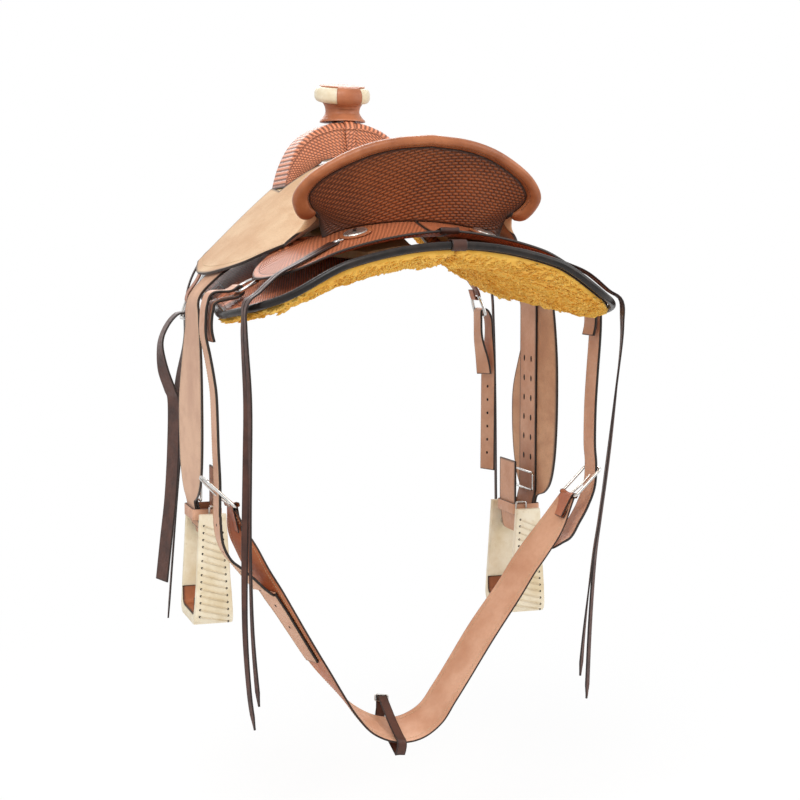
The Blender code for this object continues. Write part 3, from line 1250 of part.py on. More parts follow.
def pivots():
    for name, side in SIDES:
        drop = OFF_STIRRUP_DROP if side > 0 else 0.0
        swing = [part + name for part in ("stirrup_leather_", "fender_", "hobble_strap_", "hobble_buckle_")]
        top = pivot("leather_axis_" + name, (SWING_X * side, LEATHER_Y, SWING_Z), swing)
        tip = [part + name for part in ("stirrup_", "stirrup_bolt_", "tread_leather_")]
        low = pivot("stirrup_axis_" + name, (STIRRUP_X * side, STIRRUP_Y, BOLT_Z - drop), tip)
        low.parent = top
        low.matrix_parent_inverse = Matrix.Translation(-top.location)
        front = "latigo" if side < 0 else "off_billet"
        pivot(front + "_axis", (FRONT_BAR_X * side, FRONT_RIG_Y, FRONT_BAR_Z), [front])
    flank = ["flank_cinch", "cinch_connector"]
    flank += [part + name for part in ("flank_billet_", "flank_buckle_") for name, _ in SIDES]
    pivot("flank_axis", (0.0, FLANK_Y, rear_bar(1.0).z), flank)


for side_name, sign in SIDES:
    skirt_side(side_name, sign)
    bar_side(side_name, sign)
    rear_jockey(side_name, sign)
    rear_concho(side_name, sign)
    rear_string(side_name, sign)
    front_concho(side_name, sign)
    front_string(side_name, sign)
    flank_billet(side_name, sign)
    flank_buckle(side_name, sign)
    front_rigging(side_name, sign)
    fall = OFF_STIRRUP_DROP if sign > 0 else 0.0
    stirrup_leather(side_name, sign, fall)
    fender(side_name, sign, fall)
    hobble_strap(side_name, sign, fall)
    stirrup(side_name, sign, fall)
latigo(-1.0)
off_billet(1.0)
fork()
horn()
ground_seat()
seat_leather()
cantle()
connectors()
flank_cinch()
pivots()
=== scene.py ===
"""Looks of a wade saddle, laid over its solids.

Metres, with +Y to the horse's head, +X to its off side and +Z up.  Each piece of leather, wool, rawhide
and steel is a surface worked out with numpy from the same sizes as the solids, and rides on their bodies.
"""
import math

import bpy
import numpy as np
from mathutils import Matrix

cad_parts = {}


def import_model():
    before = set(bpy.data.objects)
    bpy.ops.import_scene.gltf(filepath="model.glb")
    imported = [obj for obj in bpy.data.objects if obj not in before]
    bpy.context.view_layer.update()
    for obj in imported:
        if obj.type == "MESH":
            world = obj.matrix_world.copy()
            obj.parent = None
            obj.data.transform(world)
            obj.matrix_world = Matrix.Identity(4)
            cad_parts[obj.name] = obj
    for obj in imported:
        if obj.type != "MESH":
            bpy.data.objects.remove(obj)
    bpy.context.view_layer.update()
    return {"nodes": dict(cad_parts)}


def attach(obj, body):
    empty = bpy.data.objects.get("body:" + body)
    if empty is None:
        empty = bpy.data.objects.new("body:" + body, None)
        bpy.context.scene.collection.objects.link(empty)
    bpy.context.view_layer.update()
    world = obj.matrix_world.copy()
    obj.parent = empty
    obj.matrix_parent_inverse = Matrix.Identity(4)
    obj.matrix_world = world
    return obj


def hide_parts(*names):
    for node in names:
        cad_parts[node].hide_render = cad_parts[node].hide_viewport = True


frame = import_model()

SIDES = (("left", -1.0), ("right", 1.0))
ALONG_X = np.array([1.0, 0.0, 0.0])
ALONG_Y = np.array([0.0, 1.0, 0.0])
CORNERS = ((-1, -1), (1, -1), (1, 1), (-1, 1))

# The horse's back that everything lies on
BACK_REAR_Y, BACK_FRONT_Y = -0.30, 0.25
SLOPE_REAR, SLOPE_FRONT = 0.58, 1.02
CROWN_REAR, CROWN_FRONT = 0.150, 0.080
EDGE_Z_REAR, EDGE_Z_FRONT = -0.088, -0.098
EDGE_X = 0.310
FLARE_LIFT, FLARE_START_Y, FLARE_RUN = 0.0185, -0.24, 0.11
FLARE_HALF_WIDTH, FLARE_FADE = 0.16, 0.11

# Heights of the layers above the back
LAYER_GAP = 0.0012
# Play between a wire and the leather round it
FIT_GAP = 0.0003
FLEECE_TOP = 0.0160
SKIRT_LOW = FLEECE_TOP + LAYER_GAP
SKIRT_TOP = SKIRT_LOW + 0.0046
BAR_TOP = SKIRT_TOP + LAYER_GAP + 0.0205
JOCKEY_LOW = BAR_TOP + LAYER_GAP
JOCKEY_THICK = 0.0036
JOCKEY_TOP = JOCKEY_LOW + JOCKEY_THICK
SEAT_LOW = JOCKEY_TOP + LAYER_GAP
SEAT_THICK = 0.0042

# Skirts: outer and inner line of the off one in plan
SKIRT_REAR_Y, SKIRT_FRONT_Y = -0.352, 0.346
SKIRT_RIM = [
    (0.004, SKIRT_REAR_Y), (0.060, -0.3515), (0.120, -0.349), (0.170, -0.345), (0.225, -0.331),
    (0.262, -0.308), (0.292, -0.266), (0.311, -0.210), (0.317, -0.155), (0.307, -0.070),
    (0.298, 0.030), (0.290, 0.120), (0.281, 0.200), (0.262, 0.262), (0.236, 0.310),
    (0.200, 0.337), (0.140, 0.345), (0.100, SKIRT_FRONT_Y), (0.056, SKIRT_FRONT_Y - 0.001),
]
SKIRT_INNER = [
    (0.002, -0.346), (0.002, -0.300), (0.012, -0.200), (0.028, -0.050), (0.038, 0.100),
    (0.047, 0.250), (0.053, 0.340),
]
REAR_CORNER, FRONT_CORNER = (0.262, -0.308), (0.236, 0.310)
BINDING_R = 0.0060
FLEECE_INSET = 0.0130
# Wool: height, scale and seed of each layer of lumps; number, reach and shape of the locks
WOOL_LUMPS = ((0.0045, 38.0, 1), (0.0030, 95.0, 2), (0.0016, 260.0, 4))
WOOL_RIM, WOOL_RIM_RISE = 0.022, 0.0085
LOCK_COUNT, LOCK_REACH = 7600, (0.006, 0.012)
LOCK_STATIONS = np.array([0.0, 0.35, 0.7, 1.0])
LOCK_GIRTH = np.array([0.0028, 0.0027, 0.0018, 0.0004])
LOCK_DROP = np.array([-0.0016, 0.0006, 0.0012, 0.0008])

# Fork: half its outline and half the arch under it, as (x, z)
FORK_COVER_THICK = 0.0040
FORK_OUTLINE = [
    (0.1255, 0.1383), (0.1235, 0.1515), (0.1185, 0.1730), (0.1100, 0.1960), (0.0970, 0.2200),
    (0.0780, 0.2395), (0.0550, 0.2525), (0.0240, 0.2620),
]
GULLET_OUTLINE = [
    (0.0560, 0.1843), (0.0555, 0.1862), (0.0540, 0.1876), (0.0510, 0.1890), (0.0460, 0.1903),
    (0.0380, 0.1918), (0.0270, 0.1932), (0.0120, 0.1940),
]
FORK_REAR_Y, FORK_FRONT_Y = 0.2058, 0.3300
FORK_LEAN = 0.16
FORK_EDGE_R = 0.016

# Horn
HORN_Y = 0.270
HORN_TILT = 0.17
HORN_BASE_Z, HORN_BASE_R = 0.2620, 0.0420
HORN_NECK_R, HORN_NECK_TOP = 0.0315, 0.2965
HORN_CAP_R, HORN_CAP_TOP = 0.0510, 0.3270
HORN_TAB_HALF_TURN = math.radians(27)

# Cantle: off half of its top line as (x, y, z), and of its foot in plan
CANTLE_RIM = [
    (0.000, -0.225, 0.205), (0.060, -0.222, 0.199), (0.110, -0.213, 0.186), (0.155, -0.200, 0.164),
    (0.188, -0.187, 0.140), (0.206, -0.174, 0.113), (0.201, -0.160, 0.090), (0.184, -0.147, 0.070),
]
CANTLE_CENTRE_Z = 0.115
CANTLE_BASE = [
    (0.000, -0.160), (0.050, -0.156), (0.085, -0.147), (0.110, -0.1405), (0.132, -0.1385), (0.149, -0.1400),
]
CANTLE_BASE_SPREAD = 0.55
CANTLE_DISH = 0.004
CANTLE_HALF_THICK = 0.0065
CANTLE_BACK_THICK = 0.0040
ROLL_TOP_R, ROLL_WING_R, ROLL_DEPTH_R = 0.0090, 0.0140, 0.0125
# Share of the way to its ends where the roll starts to close, the power that squares it off, and its sides
ROLL_END, ROLL_SQUARE, ROLL_SIDES = 0.955, 0.86, 28

# Seat: y of its rows, and the off jockey's edge in plan
SEAT_SEAM_X = 0.134
SEAT_SEAM_SHARE = 5 / 11
SEAT_FRONT_Y = 0.2000
SEAT_BASE_Y = -0.092
SEAT_ROWS = [-0.060, -0.025, 0.010, 0.045, 0.080, 0.115, 0.150, SEAT_FRONT_Y, 0.232, 0.262]
SEAT_EDGE = [
    (0.198, -0.087), (0.226, -0.066), (0.252, -0.043), (0.270, -0.005), (0.282, 0.040),
    (0.289, 0.080), (0.292, 0.120), (0.292, 0.158), (0.286, 0.192), (0.281, 0.214), (0.275, 0.238),
]

# Rear jockeys: outer and inner line of the off one in plan
JOCKEY_REAR = [
    (0.0015, -0.312), (0.060, -0.306), (0.120, -0.302), (0.170, -0.296), (0.216, -0.275),
    (0.250, -0.235), (0.264, -0.190), (0.262, -0.140), (0.245, -0.090), (0.206, -0.045),
]
JOCKEY_INNER = [
    (0.0015, -0.150), (0.050, -0.146), (0.085, -0.137), (0.112, -0.130), (0.136, -0.122), (0.156, -0.098),
    (0.172, -0.060),
]
JOCKEY_DROP = 0.004

# Conchos and small dees: places in plan, radii, and the height of the stack under a front concho
CONCHO = (0.107, -0.178)
CONCHO_R, ROSETTE_R = 0.0195, 0.0270
FRONT_CONCHO = (0.176, 0.276)
FRONT_CONCHO_R, FRONT_ROSETTE_R, FRONT_STACK = 0.018, 0.024, 0.0190
TIE_DEE, TIE_DEE_HALF, TIE_DEE_WIRE_R = (0.140, -0.190), (0.007, 0.009), 0.0016

# Stirrup leathers, fenders and stirrups
LEATHER_WIDTH, LEATHER_Y = 0.075, 0.1275
GROOVE_DEPTH, LEATHER_LIFT = 0.0062, 0.010
LEATHER_THICK, LEATHER_PLANE = 0.0034, 0.3112
FENDER_THICK, FENDER_PLANE = 0.0040, 0.3151
HOBBLE_TOP_Z, HOBBLE_WIDTH, HOBBLE_THICK, HOBBLE_WIRE_R = -0.4120, 0.0200, 0.0028, 0.0018
STIRRUP_X, STIRRUP_Y = 0.2890, 0.1300
BOLT_Z, BOLT_R = -0.4580, 0.0070
OFF_STIRRUP_DROP = 0.0190
STIRRUP_HALF_OUTER = 0.0660
STIRRUP_WALL, STIRRUP_TREAD = 0.0115, 0.0155
STIRRUP_TOP_Z, STIRRUP_BOTTOM_Z = -0.4190, -0.6100
STIRRUP_TOP_DEPTH, STIRRUP_TREAD_DEPTH = 0.0460, 0.0680
TREAD_LEATHER_THICK = 0.0025

# Rigging and flank set
DEE_WIRE_R, DEE_TURN = 0.0030, 0.0042
RIG_STRAP_WIDTH, RIG_STRAP_THICK = 0.026, 0.0028
FLANK_Y, FLANK_WIDTH, FLANK_THICK = -0.110, 0.045, 0.0042
FLANK_SWING, FRONT_SWING = math.radians(3), math.radians(15)
FLANK_PLAY = FLANK_WIDTH * 0.5 * math.sin(FLANK_SWING)
FLANK_LOOP = DEE_WIRE_R + FLANK_PLAY + FIT_GAP
FLANK_STITCH = 0.0045
FLANK_EDGE_X = 0.3290
REAR_BAR_X, REAR_DEE_WIDTH, REAR_DEE_RISE, REAR_DEE_SINK = 0.283, 0.062, 0.036, 0.04
BUCKLE_WIRE_R = 0.0026
STRAP_MARGIN = 0.0026
STRAP_TWIST, TWIST_TOP_Z, TWIST_FALL = math.radians(22), -0.120, 0.090
# Lower and upper bar of each flank buckle, the fall of each billet, and where its tail starts and ends in x
BUCKLE_BARS = {"left": [(0.2929, -0.3767), (0.3386, -0.3318)],
               "right": [(0.2885, -0.3865), (0.3362, -0.3400)]}
BILLET_FALL = {
    "left": [(0.3280, -0.135), (0.3220, -0.170), (0.3180, -0.206), (0.3160, -0.285), (0.3140, -0.340),
             (0.3150, -0.390), (0.3115, -0.430), (0.3000, -0.457), (0.2830, -0.4750), (0.2650, -0.494),
             (0.2470, -0.513)],
    "right": [(0.3325, -0.135), (0.3290, -0.185), (0.3262, -0.240), (0.3258, -0.300), (0.3285, -0.335),
              (0.3262, -0.372), (0.3140, -0.404), (0.2990, -0.430), (0.2800, -0.457)],
}
BILLET_TAIL = {"left": (0.232, 0.152), "right": (0.246, 0.132)}
TAIL_GAP, TAIL_RISE = 0.0007, 0.0016
CINCH_REAR_Y, CINCH_THICK = -0.135, 0.0034
# Cinch from its left end to its right one: its rear edge across and up, and the way over to its front edge
CINCH = np.array([
    (-0.2912, -0.3798, -0.0020, 0.0497, -0.0010), (-0.2764, -0.4099, -0.0165, 0.0475, -0.0110),
    (-0.2570, -0.4420, -0.0215, 0.0540, -0.0135), (-0.2380, -0.4780, -0.0220, 0.0660, -0.0125),
    (-0.2170, -0.5130, -0.0212, 0.0682, -0.0122), (-0.1970, -0.5490, -0.0184, 0.0668, -0.0103),
    (-0.1770, -0.5850, -0.0156, 0.0665, -0.0087), (-0.1560, -0.6220, -0.0129, 0.0665, -0.0074),
    (-0.1350, -0.6580, -0.0090, 0.0670, -0.0052), (-0.1140, -0.6950, -0.0008, 0.0680, -0.0005),
    (-0.0920, -0.7310, 0.0069, 0.0676, 0.0046), (-0.0630, -0.7630, 0.0114, 0.0650, 0.0156),
    (-0.0230, -0.7800, 0.0050, 0.0660, 0.0235), (0.0180, -0.7770, -0.0089, 0.0660, 0.0244),
    (0.0520, -0.7550, -0.0170, 0.0630, 0.0190), (0.0750, -0.7220, -0.0190, 0.0620, 0.0150),
    (0.0980, -0.6880, -0.0190, 0.0630, 0.0140), (0.1430, -0.6200, -0.0190, 0.0640, 0.0140),
    (0.1900, -0.5530, -0.0170, 0.0640, 0.0120), (0.2170, -0.5120, -0.0180, 0.0600, 0.0130),
    (0.2400, -0.4820, -0.0190, 0.0560, 0.0150), (0.2668, -0.4422, -0.0180, 0.0490, 0.0130),
    (0.2868, -0.3886, -0.0030, 0.0497, 0.0020),
])
CONNECTOR_X, CONNECTOR_WIDTH, CONNECTOR_STAND = -0.026, 0.017, 0.030
FRONT_RIG_Y, FRONT_BAR_X, FRONT_BAR_Z = 0.315, 0.290, -0.095
FRONT_DEE_RISE, FRONT_STRAP_WIDTH = 0.036, 0.040
# Sine and cosine of the front dee's lean
FRONT_DEE_LEAN = (0.30, 0.954)
FRONT_LOOP = DEE_WIRE_R + FRONT_STRAP_WIDTH * 0.5 * math.sin(FRONT_SWING) + FIT_GAP
LATIGO_THICK, OFF_BILLET_THICK = 0.0032, 0.0040
STRING_WIDTH, THONG_WIDTH, THONG_THICK, THONG_TIP = 0.010, 0.0120, 0.0027, 0.0030
FOLD_THICK = 0.0022
LACE_PITCH, LACE_HALF_WIDTH, LACE_HALF_THICK = 0.0118, 0.0012, 0.0007


# The view and the light

CAMERA_PLACE = (-0.8174, -2.5876, 0.0197)
CAMERA_YAW, CAMERA_PITCH = 18.0, 5.178
CAMERA_LENS = 72.0
FLOOR_Z, FLOOR_REACH = -1.02, 9.0
# The floor's own white takes over from its shading between these distances, by these shares
FLOOR_FADE = (0.9, 2.4, 0.78, 1.0)
WHITE = (1.0, 1.0, 1.0, 1.0)
SURROUND_LIGHT = 0.62


def camera():
    """View from behind and to the left, about level with the skirts."""
    data = bpy.data.cameras.new("view")
    data.lens = CAMERA_LENS
    data.sensor_width = 36.0
    data.clip_end = 50.0
    made = bpy.data.objects.new("view", data)
    made.location = CAMERA_PLACE
    made.rotation_euler = (math.radians(90.0 - CAMERA_PITCH), 0.0, math.radians(-CAMERA_YAW))
    bpy.context.scene.collection.objects.link(made)
    bpy.context.scene.camera = made


def area_light(name, place, target, size, power, colour=(1.0, 1.0, 1.0)):
    """Square soft lamp at place that faces target."""
    data = bpy.data.lights.new(name, "AREA")
    data.shape = "SQUARE"
    data.size = size
    data.energy = power
    data.color = colour
    made = bpy.data.objects.new(name, data)
    away = np.array(place, float) - np.array(target, float)
    flat = math.hypot(away[0], away[1])
    made.location = place
    made.rotation_euler = (math.atan2(flat, away[2]), 0.0, math.atan2(away[0], -away[1]))
    bpy.context.scene.collection.objects.link(made)


def world():
    """White surroundings: full white when seen, through glass or mirrored too, and softer as light."""
    made = bpy.data.worlds.new("studio")
    made.use_nodes = True
    tree = made.node_tree
    tree.nodes.clear()
    out = tree.nodes.new("ShaderNodeOutputWorld")
    path = tree.nodes.new("ShaderNodeLightPath")
    seen = path.outputs["Is Camera Ray"]
    for kind in ("Is Transmission Ray", "Is Glossy Ray"):
        either = tree.nodes.new("ShaderNodeMath")
        either.operation = "MAXIMUM"
        tree.links.new(seen, either.inputs[0])
        tree.links.new(path.outputs[kind], either.inputs[1])
        seen = either.outputs[0]
    mix = tree.nodes.new("ShaderNodeMixShader")
    tree.links.new(seen, mix.inputs[0])
    for k, strength in ((1, SURROUND_LIGHT), (2, 1.0)):
        light = tree.nodes.new("ShaderNodeBackground")
        light.inputs["Color"].default_value = WHITE
        light.inputs["Strength"].default_value = strength
        tree.links.new(light.outputs[0], mix.inputs[k])
    tree.links.new(mix.outputs[0], out.inputs["Surface"])
    bpy.context.scene.world = made


def floor():
    """Pale floor: a faint shadow near the object, fading with distance into the white around it."""
    mesh = bpy.data.meshes.new("floor")
    corners = [(x * FLOOR_REACH, y * FLOOR_REACH, FLOOR_Z) for x, y in CORNERS]
    mesh.from_pydata(corners, [], [(0, 1, 2, 3)])
    made = bpy.data.objects.new("floor", mesh)
    bpy.context.scene.collection.objects.link(made)
    paint = bpy.data.materials.new("pale_floor")
    paint.use_nodes = True
    tree = paint.node_tree
    tree.nodes.clear()
    out = tree.nodes.new("ShaderNodeOutputMaterial")
    matt = tree.nodes.new("ShaderNodeBsdfDiffuse")
    matt.inputs["Color"].default_value = (0.88, 0.88, 0.88, 1.0)
    glow = tree.nodes.new("ShaderNodeEmission")
    glow.inputs["Strength"].default_value = 1.0
    path = tree.nodes.new("ShaderNodeLightPath")
    place = tree.nodes.new("ShaderNodeTexCoord")
    away = tree.nodes.new("ShaderNodeVectorMath")
    away.operation = "LENGTH"
    tree.links.new(place.outputs["Object"], away.inputs[0])
    fade = tree.nodes.new("ShaderNodeMapRange")
    fade.interpolation_type = "SMOOTHSTEP"
    for k, value in enumerate(FLOOR_FADE):
        fade.inputs[k + 1].default_value = value
    tree.links.new(away.outputs["Value"], fade.inputs[0])
    share = tree.nodes.new("ShaderNodeMath")
    share.operation = "MULTIPLY"
    tree.links.new(fade.outputs[0], share.inputs[1])
    mix = tree.nodes.new("ShaderNodeMixShader")
    tree.links.new(path.outputs["Is Camera Ray"], share.inputs[0])
    tree.links.new(share.outputs[0], mix.inputs[0])
    tree.links.new(matt.outputs[0], mix.inputs[1])
    tree.links.new(glow.outputs[0], mix.inputs[2])
    tree.links.new(mix.outputs[0], out.inputs["Surface"])
    mesh.materials.append(paint)


def studio():
    """Camera, surroundings, floor and three soft lamps."""
    bpy.context.scene.view_settings.view_transform = "Standard"
    camera()
    world()
    floor()
    area_light("high_key", (-1.6, -2.2, 2.6), (0.0, 0.0, 0.0), 2.2, 95.0)
    area_light("right_fill", (2.4, -1.4, 1.2), (0.0, 0.0, -0.1), 2.0, 34.0)
    area_light("front_rim", (0.3, 2.6, 1.8), (0.0, 0.0, 0.0), 2.0, 40.0)


# Finishes

def srgb(*colour):
    """Linear colour of an 8-bit screen colour."""
    share = np.array(colour, float) / 255.0
    linear = np.where(share <= 0.04045, share / 12.92, ((share + 0.055) / 1.055) ** 2.4)
    return (*linear.tolist(), 1.0)


class Finish:
    """A material under construction: short calls that add its nodes."""

    def __init__(self, name, roughness, metallic=0.0, specular=0.5):
        self.made = bpy.data.materials.new(name)
        self.made.use_nodes = True
        self.tree = self.made.node_tree
        self.shader = self.tree.nodes["Principled BSDF"]
        self.shader.inputs["Roughness"].default_value = roughness
        self.shader.inputs["Metallic"].default_value = metallic
        self.shader.inputs["Specular IOR Level"].default_value = specular
        self.place = self.tree.nodes.new("ShaderNodeTexCoord").outputs["Object"]

    def link(self, source, target):
        """Lead an output to an input."""
        self.tree.links.new(source, target)

    def stretched(self, source, scale, turn=0.0):
        """Coordinates scaled and turned about Z, in degrees."""
        node = self.tree.nodes.new("ShaderNodeMapping")
        node.inputs["Scale"].default_value = scale
        node.inputs["Rotation"].default_value = (0.0, 0.0, math.radians(turn))
        self.link(source, node.inputs["Vector"])
        return node.outputs["Vector"]

    def noise(self, scale, detail=4.0, rough=0.55, source=None):
        node = self.tree.nodes.new("ShaderNodeTexNoise")
        node.inputs["Scale"].default_value = scale
        node.inputs["Detail"].default_value = detail
        node.inputs["Roughness"].default_value = rough
        self.link(source or self.place, node.inputs["Vector"])
        return node.outputs["Fac"]

    def cells(self, scale, feature="F1", source=None):
        node = self.tree.nodes.new("ShaderNodeTexVoronoi")
        node.feature = feature
        node.inputs["Scale"].default_value = scale
        self.link(source or self.place, node.inputs["Vector"])
        return node.outputs["Distance"]

    def math(self, operation, a, b=None):
        node = self.tree.nodes.new("ShaderNodeMath")
        node.operation = operation
        for k, value in enumerate((a, b)):
            if value is None:
                continue
            if isinstance(value, (int, float)):
                node.inputs[k].default_value = value
            else:
                self.link(value, node.inputs[k])
        return node.outputs[0]

    def span(self, source, low, high, to_low=0.0, to_high=1.0):
        """Source from low to high, eased onto to_low to to_high."""
        node = self.tree.nodes.new("ShaderNodeMapRange")
        node.interpolation_type = "SMOOTHSTEP"
        for k, value in enumerate((low, high, to_low, to_high)):
            node.inputs[k + 1].default_value = value
        self.link(source, node.inputs[0])
        return node.outputs[0]

    def blend(self, share, a, b):
        """Colour a turned into b by share."""
        node = self.tree.nodes.new("ShaderNodeMix")
        node.data_type = "RGBA"
        sockets = [s for s in node.inputs if s.type == "RGBA"]
        if isinstance(share, (int, float)):
            node.inputs[0].default_value = share
        else:
            self.link(share, node.inputs[0])
        for socket, value in zip(sockets, (a, b)):
            if isinstance(value, tuple):
                socket.default_value = value
            else:
                self.link(value, socket)
        return [s for s in node.outputs if s.type == "RGBA"][0]

    def field(self, name):
        """Number that the piece carries at each vertex, or 0 where it has none."""
        node = self.tree.nodes.new("ShaderNodeAttribute")
        node.attribute_name = name
        return node.outputs["Fac"]

    def flat(self):
        """The piece's own map, in metres along and across it."""
        node = self.tree.nodes.new("ShaderNodeUVMap")
        node.uv_map = "lay"
        return node.outputs["UV"]

    def colour(self, source):
        if isinstance(source, tuple):
            self.shader.inputs["Base Color"].default_value = source
        else:
            self.link(source, self.shader.inputs["Base Color"])

    def rough(self, source):
        self.link(source, self.shader.inputs["Roughness"])

    def bump(self, *layers):
        """Stacked bumps, each (height, strength, depth in metres)."""
        last = None
        for height, strength, depth in layers:
            node = self.tree.nodes.new("ShaderNodeBump")
            node.inputs["Strength"].default_value = strength
            node.inputs["Distance"].default_value = depth
            self.link(height, node.inputs["Height"])
            if last is not None:
                self.link(last, node.inputs["Normal"])
            last = node.outputs["Normal"]
        self.link(last, self.shader.inputs["Normal"])


DARK_EDGE = srgb(42, 30, 24)


def leather(name, colour, deep, roughness=0.5, grain=0.25, edge=DARK_EDGE, mottle=14.0):
    """Smooth hide: cloudy colour, fine pores, and burnished edges where the piece says so."""
    f = Finish(name, roughness, specular=0.35)
    cloud = f.span(f.noise(mottle, 5.0), 0.34, 0.72)
    fine = f.span(f.noise(170.0, 3.0), 0.30, 0.75)
    base = f.blend(cloud, srgb(*colour), srgb(*deep))
    base = f.blend(f.math("MULTIPLY", fine, 0.22), base, srgb(*deep))
    base = f.blend(f.field("edge"), base, edge)
    f.colour(base)
    f.rough(f.span(fine, 0.0, 1.0, roughness - 0.06, roughness + 0.10))
    pores = f.cells(900.0)
    f.bump((f.noise(60.0, 3.0), 0.10, 0.0012), (pores, grain, 0.00025))
    return f.made


def stamped(name, colour, deep, pitch=0.0100, turn=24.0, ribs=0.0062, rib_reach=0.020):
    """Basket-stamped hide: staggered pillows in rows, and fluted stamps along an edge that the piece marks.
    Its colour carries painted light: painted shade in the low parts of the stamping and where the piece's
    shade field is set, and a painted highlight on the pillow tops.

    Pillow height over a tile, with u and v from -1 to 1 across it: (1 - |u|^3) (1 - v^2).
    """
    f = Finish(name, 0.42, specular=0.45)
    split = f.tree.nodes.new("ShaderNodeSeparateXYZ")
    f.link(f.stretched(f.flat(), (1.0, 1.0, 1.0), turn), split.inputs[0])
    row = f.math("DIVIDE", split.outputs[1], pitch * 0.46)
    step = f.math("MULTIPLY", f.math("FLOOR", row), 0.5)
    column = f.math("ADD", f.math("DIVIDE", split.outputs[0], pitch), step)
    u = f.math("ABSOLUTE", f.math("SUBTRACT", f.math("MULTIPLY", f.math("FRACT", column), 2.0), 1.0))
    v = f.math("SUBTRACT", f.math("MULTIPLY", f.math("FRACT", row), 2.0), 1.0)
    across = f.math("SUBTRACT", 1.0, f.math("POWER", u, 3.0))
    basket = f.math("MULTIPLY", across, f.math("SUBTRACT", 1.0, f.math("MULTIPLY", v, v)))
    reach = f.field("border")
    near = f.span(reach, rib_reach * 0.92, rib_reach * 1.04, 1.0, 0.0)
    flute = f.math("SINE", f.math("MULTIPLY", f.field("around"), 2.0 * math.pi / ribs))
    flute = f.span(flute, -0.9, 0.5)
    line = f.span(f.math("ABSOLUTE", f.math("SUBTRACT", reach, rib_reach * 1.1)), 0.0, 0.0012, 1.0, 0.0)
    height = f.tree.nodes.new("ShaderNodeMix")
    height.data_type = "FLOAT"
    f.link(near, height.inputs[0])
    f.link(basket, height.inputs[2])
    f.link(flute, height.inputs[3])
    height = f.math("SUBTRACT", height.outputs[0], line)
    height = f.math("MULTIPLY", height, f.math("SUBTRACT", 1.0, f.field("edge")))
    cloud = f.span(f.noise(11.0, 5.0), 0.34, 0.72)
    base = f.blend(cloud, srgb(*colour), srgb(*deep))
    # Painted shade: the low parts of the stamping (grooves, flutes, border line and edges) darkened towards
    # half the deep colour.
    base = f.blend(f.span(height, 0.05, 0.55, 0.60, 0.0), base, srgb(*(c * 0.5 for c in deep)))
    # Painted highlight: the pillow tops lightened towards a paler colour.
    pale = srgb(*(min(255.0, c * 1.22 + 10.0) for c in colour))
    base = f.blend(f.span(height, 0.62, 0.98, 0.0, 0.70), base, pale)
    # Painted shade wherever the piece's shade field is set.
    base = f.blend(f.math("MULTIPLY", f.field("shade"), 0.8), base, srgb(*(c * 0.5 for c in deep)))
    base = f.blend(f.field("edge"), base, DARK_EDGE)
    f.colour(base)
    f.bump((height, 0.85, 0.0014), (f.cells(900.0), 0.15, 0.0002))
    return f.made


def roughout(name, colour, deep, edge=DARK_EDGE):
    """Napped flesh side of the hide: soft, dull, streaked by handling."""
    f = Finish(name, 0.92, specular=0.15)
    f.shader.inputs["Sheen Weight"].default_value = 0.25
    f.shader.inputs["Sheen Roughness"].default_value = 0.6
    cloud = f.span(f.noise(8.0, 6.0, 0.6), 0.32, 0.72)
    nap = f.noise(420.0, 4.0, 0.7)
    streak = f.noise(30.0, 4.0, 0.6, f.stretched(f.place, (1.0, 0.35, 1.0), 20.0))
    base = f.blend(cloud, srgb(*colour), srgb(*deep))
    base = f.blend(f.span(streak, 0.46, 0.74, 0.0, 0.75), base, srgb(*deep))
    base = f.blend(f.span(nap, 0.35, 0.70, 0.0, 0.28), base, srgb(*(c * 0.72 for c in deep)))
    base = f.blend(f.field("edge"), base, edge)
    f.colour(base)
    f.bump((nap, 0.35, 0.0006), (f.noise(90.0, 3.0), 0.12, 0.0012))
    return f.made


def rawhide(name):
    """Hard cream hide with a parchment cloudiness and low wrinkles."""
    f = Finish(name, 0.42, specular=0.5)
    cloud = f.span(f.noise(22.0, 6.0, 0.6), 0.30, 0.74)
    base = f.blend(cloud, srgb(236, 226, 203), srgb(214, 196, 160))
    base = f.blend(f.span(f.noise(120.0, 3.0), 0.55, 0.80, 0.0, 0.35), base, srgb(190, 165, 122))
    base = f.blend(f.math("MULTIPLY", f.field("edge"), 0.55), base, srgb(176, 150, 110))
    f.colour(base)
    f.bump((f.noise(70.0, 4.0), 0.35, 0.0010), (f.noise(520.0, 3.0), 0.2, 0.0003))
    return f.made


def bound(name):
    """Shiny black-brown rolled binding with fine creases across it."""
    f = Finish(name, 0.34, specular=0.32)
    crease = f.noise(55.0, 4.0, 0.6)
    f.colour(f.blend(f.span(crease, 0.35, 0.75), srgb(18, 13, 11), srgb(36, 27, 23)))
    f.rough(f.span(crease, 0.3, 0.8, 0.26, 0.42))
    f.bump((crease, 0.25, 0.0012), (f.cells(700.0), 0.12, 0.0002))
    return f.made


def wool(name):
    """Dyed sheepskin: golden locks with orange depths."""
    f = Finish(name, 0.95, specular=0.1)
    f.shader.inputs["Sheen Weight"].default_value = 0.35
    f.shader.inputs["Sheen Roughness"].default_value = 0.5
    f.shader.inputs["Sheen Tint"].default_value = srgb(255, 226, 150)
    locks = f.noise(34.0, 6.0, 0.65)
    patch = f.span(f.noise(9.0, 4.0, 0.6), 0.36, 0.68)
    base = f.blend(patch, srgb(244, 190, 84), srgb(230, 164, 56))
    base = f.blend(f.span(locks, 0.48, 0.78, 0.0, 0.55), base, srgb(216, 138, 36))
    base = f.blend(f.math("MULTIPLY", f.field("tone"), 0.8), base, srgb(250, 208, 112))
    f.colour(base)
    f.bump((f.noise(120.0, 5.0, 0.7), 0.5, 0.002), (f.noise(700.0, 3.0, 0.7), 0.4, 0.0006))
    return f.made


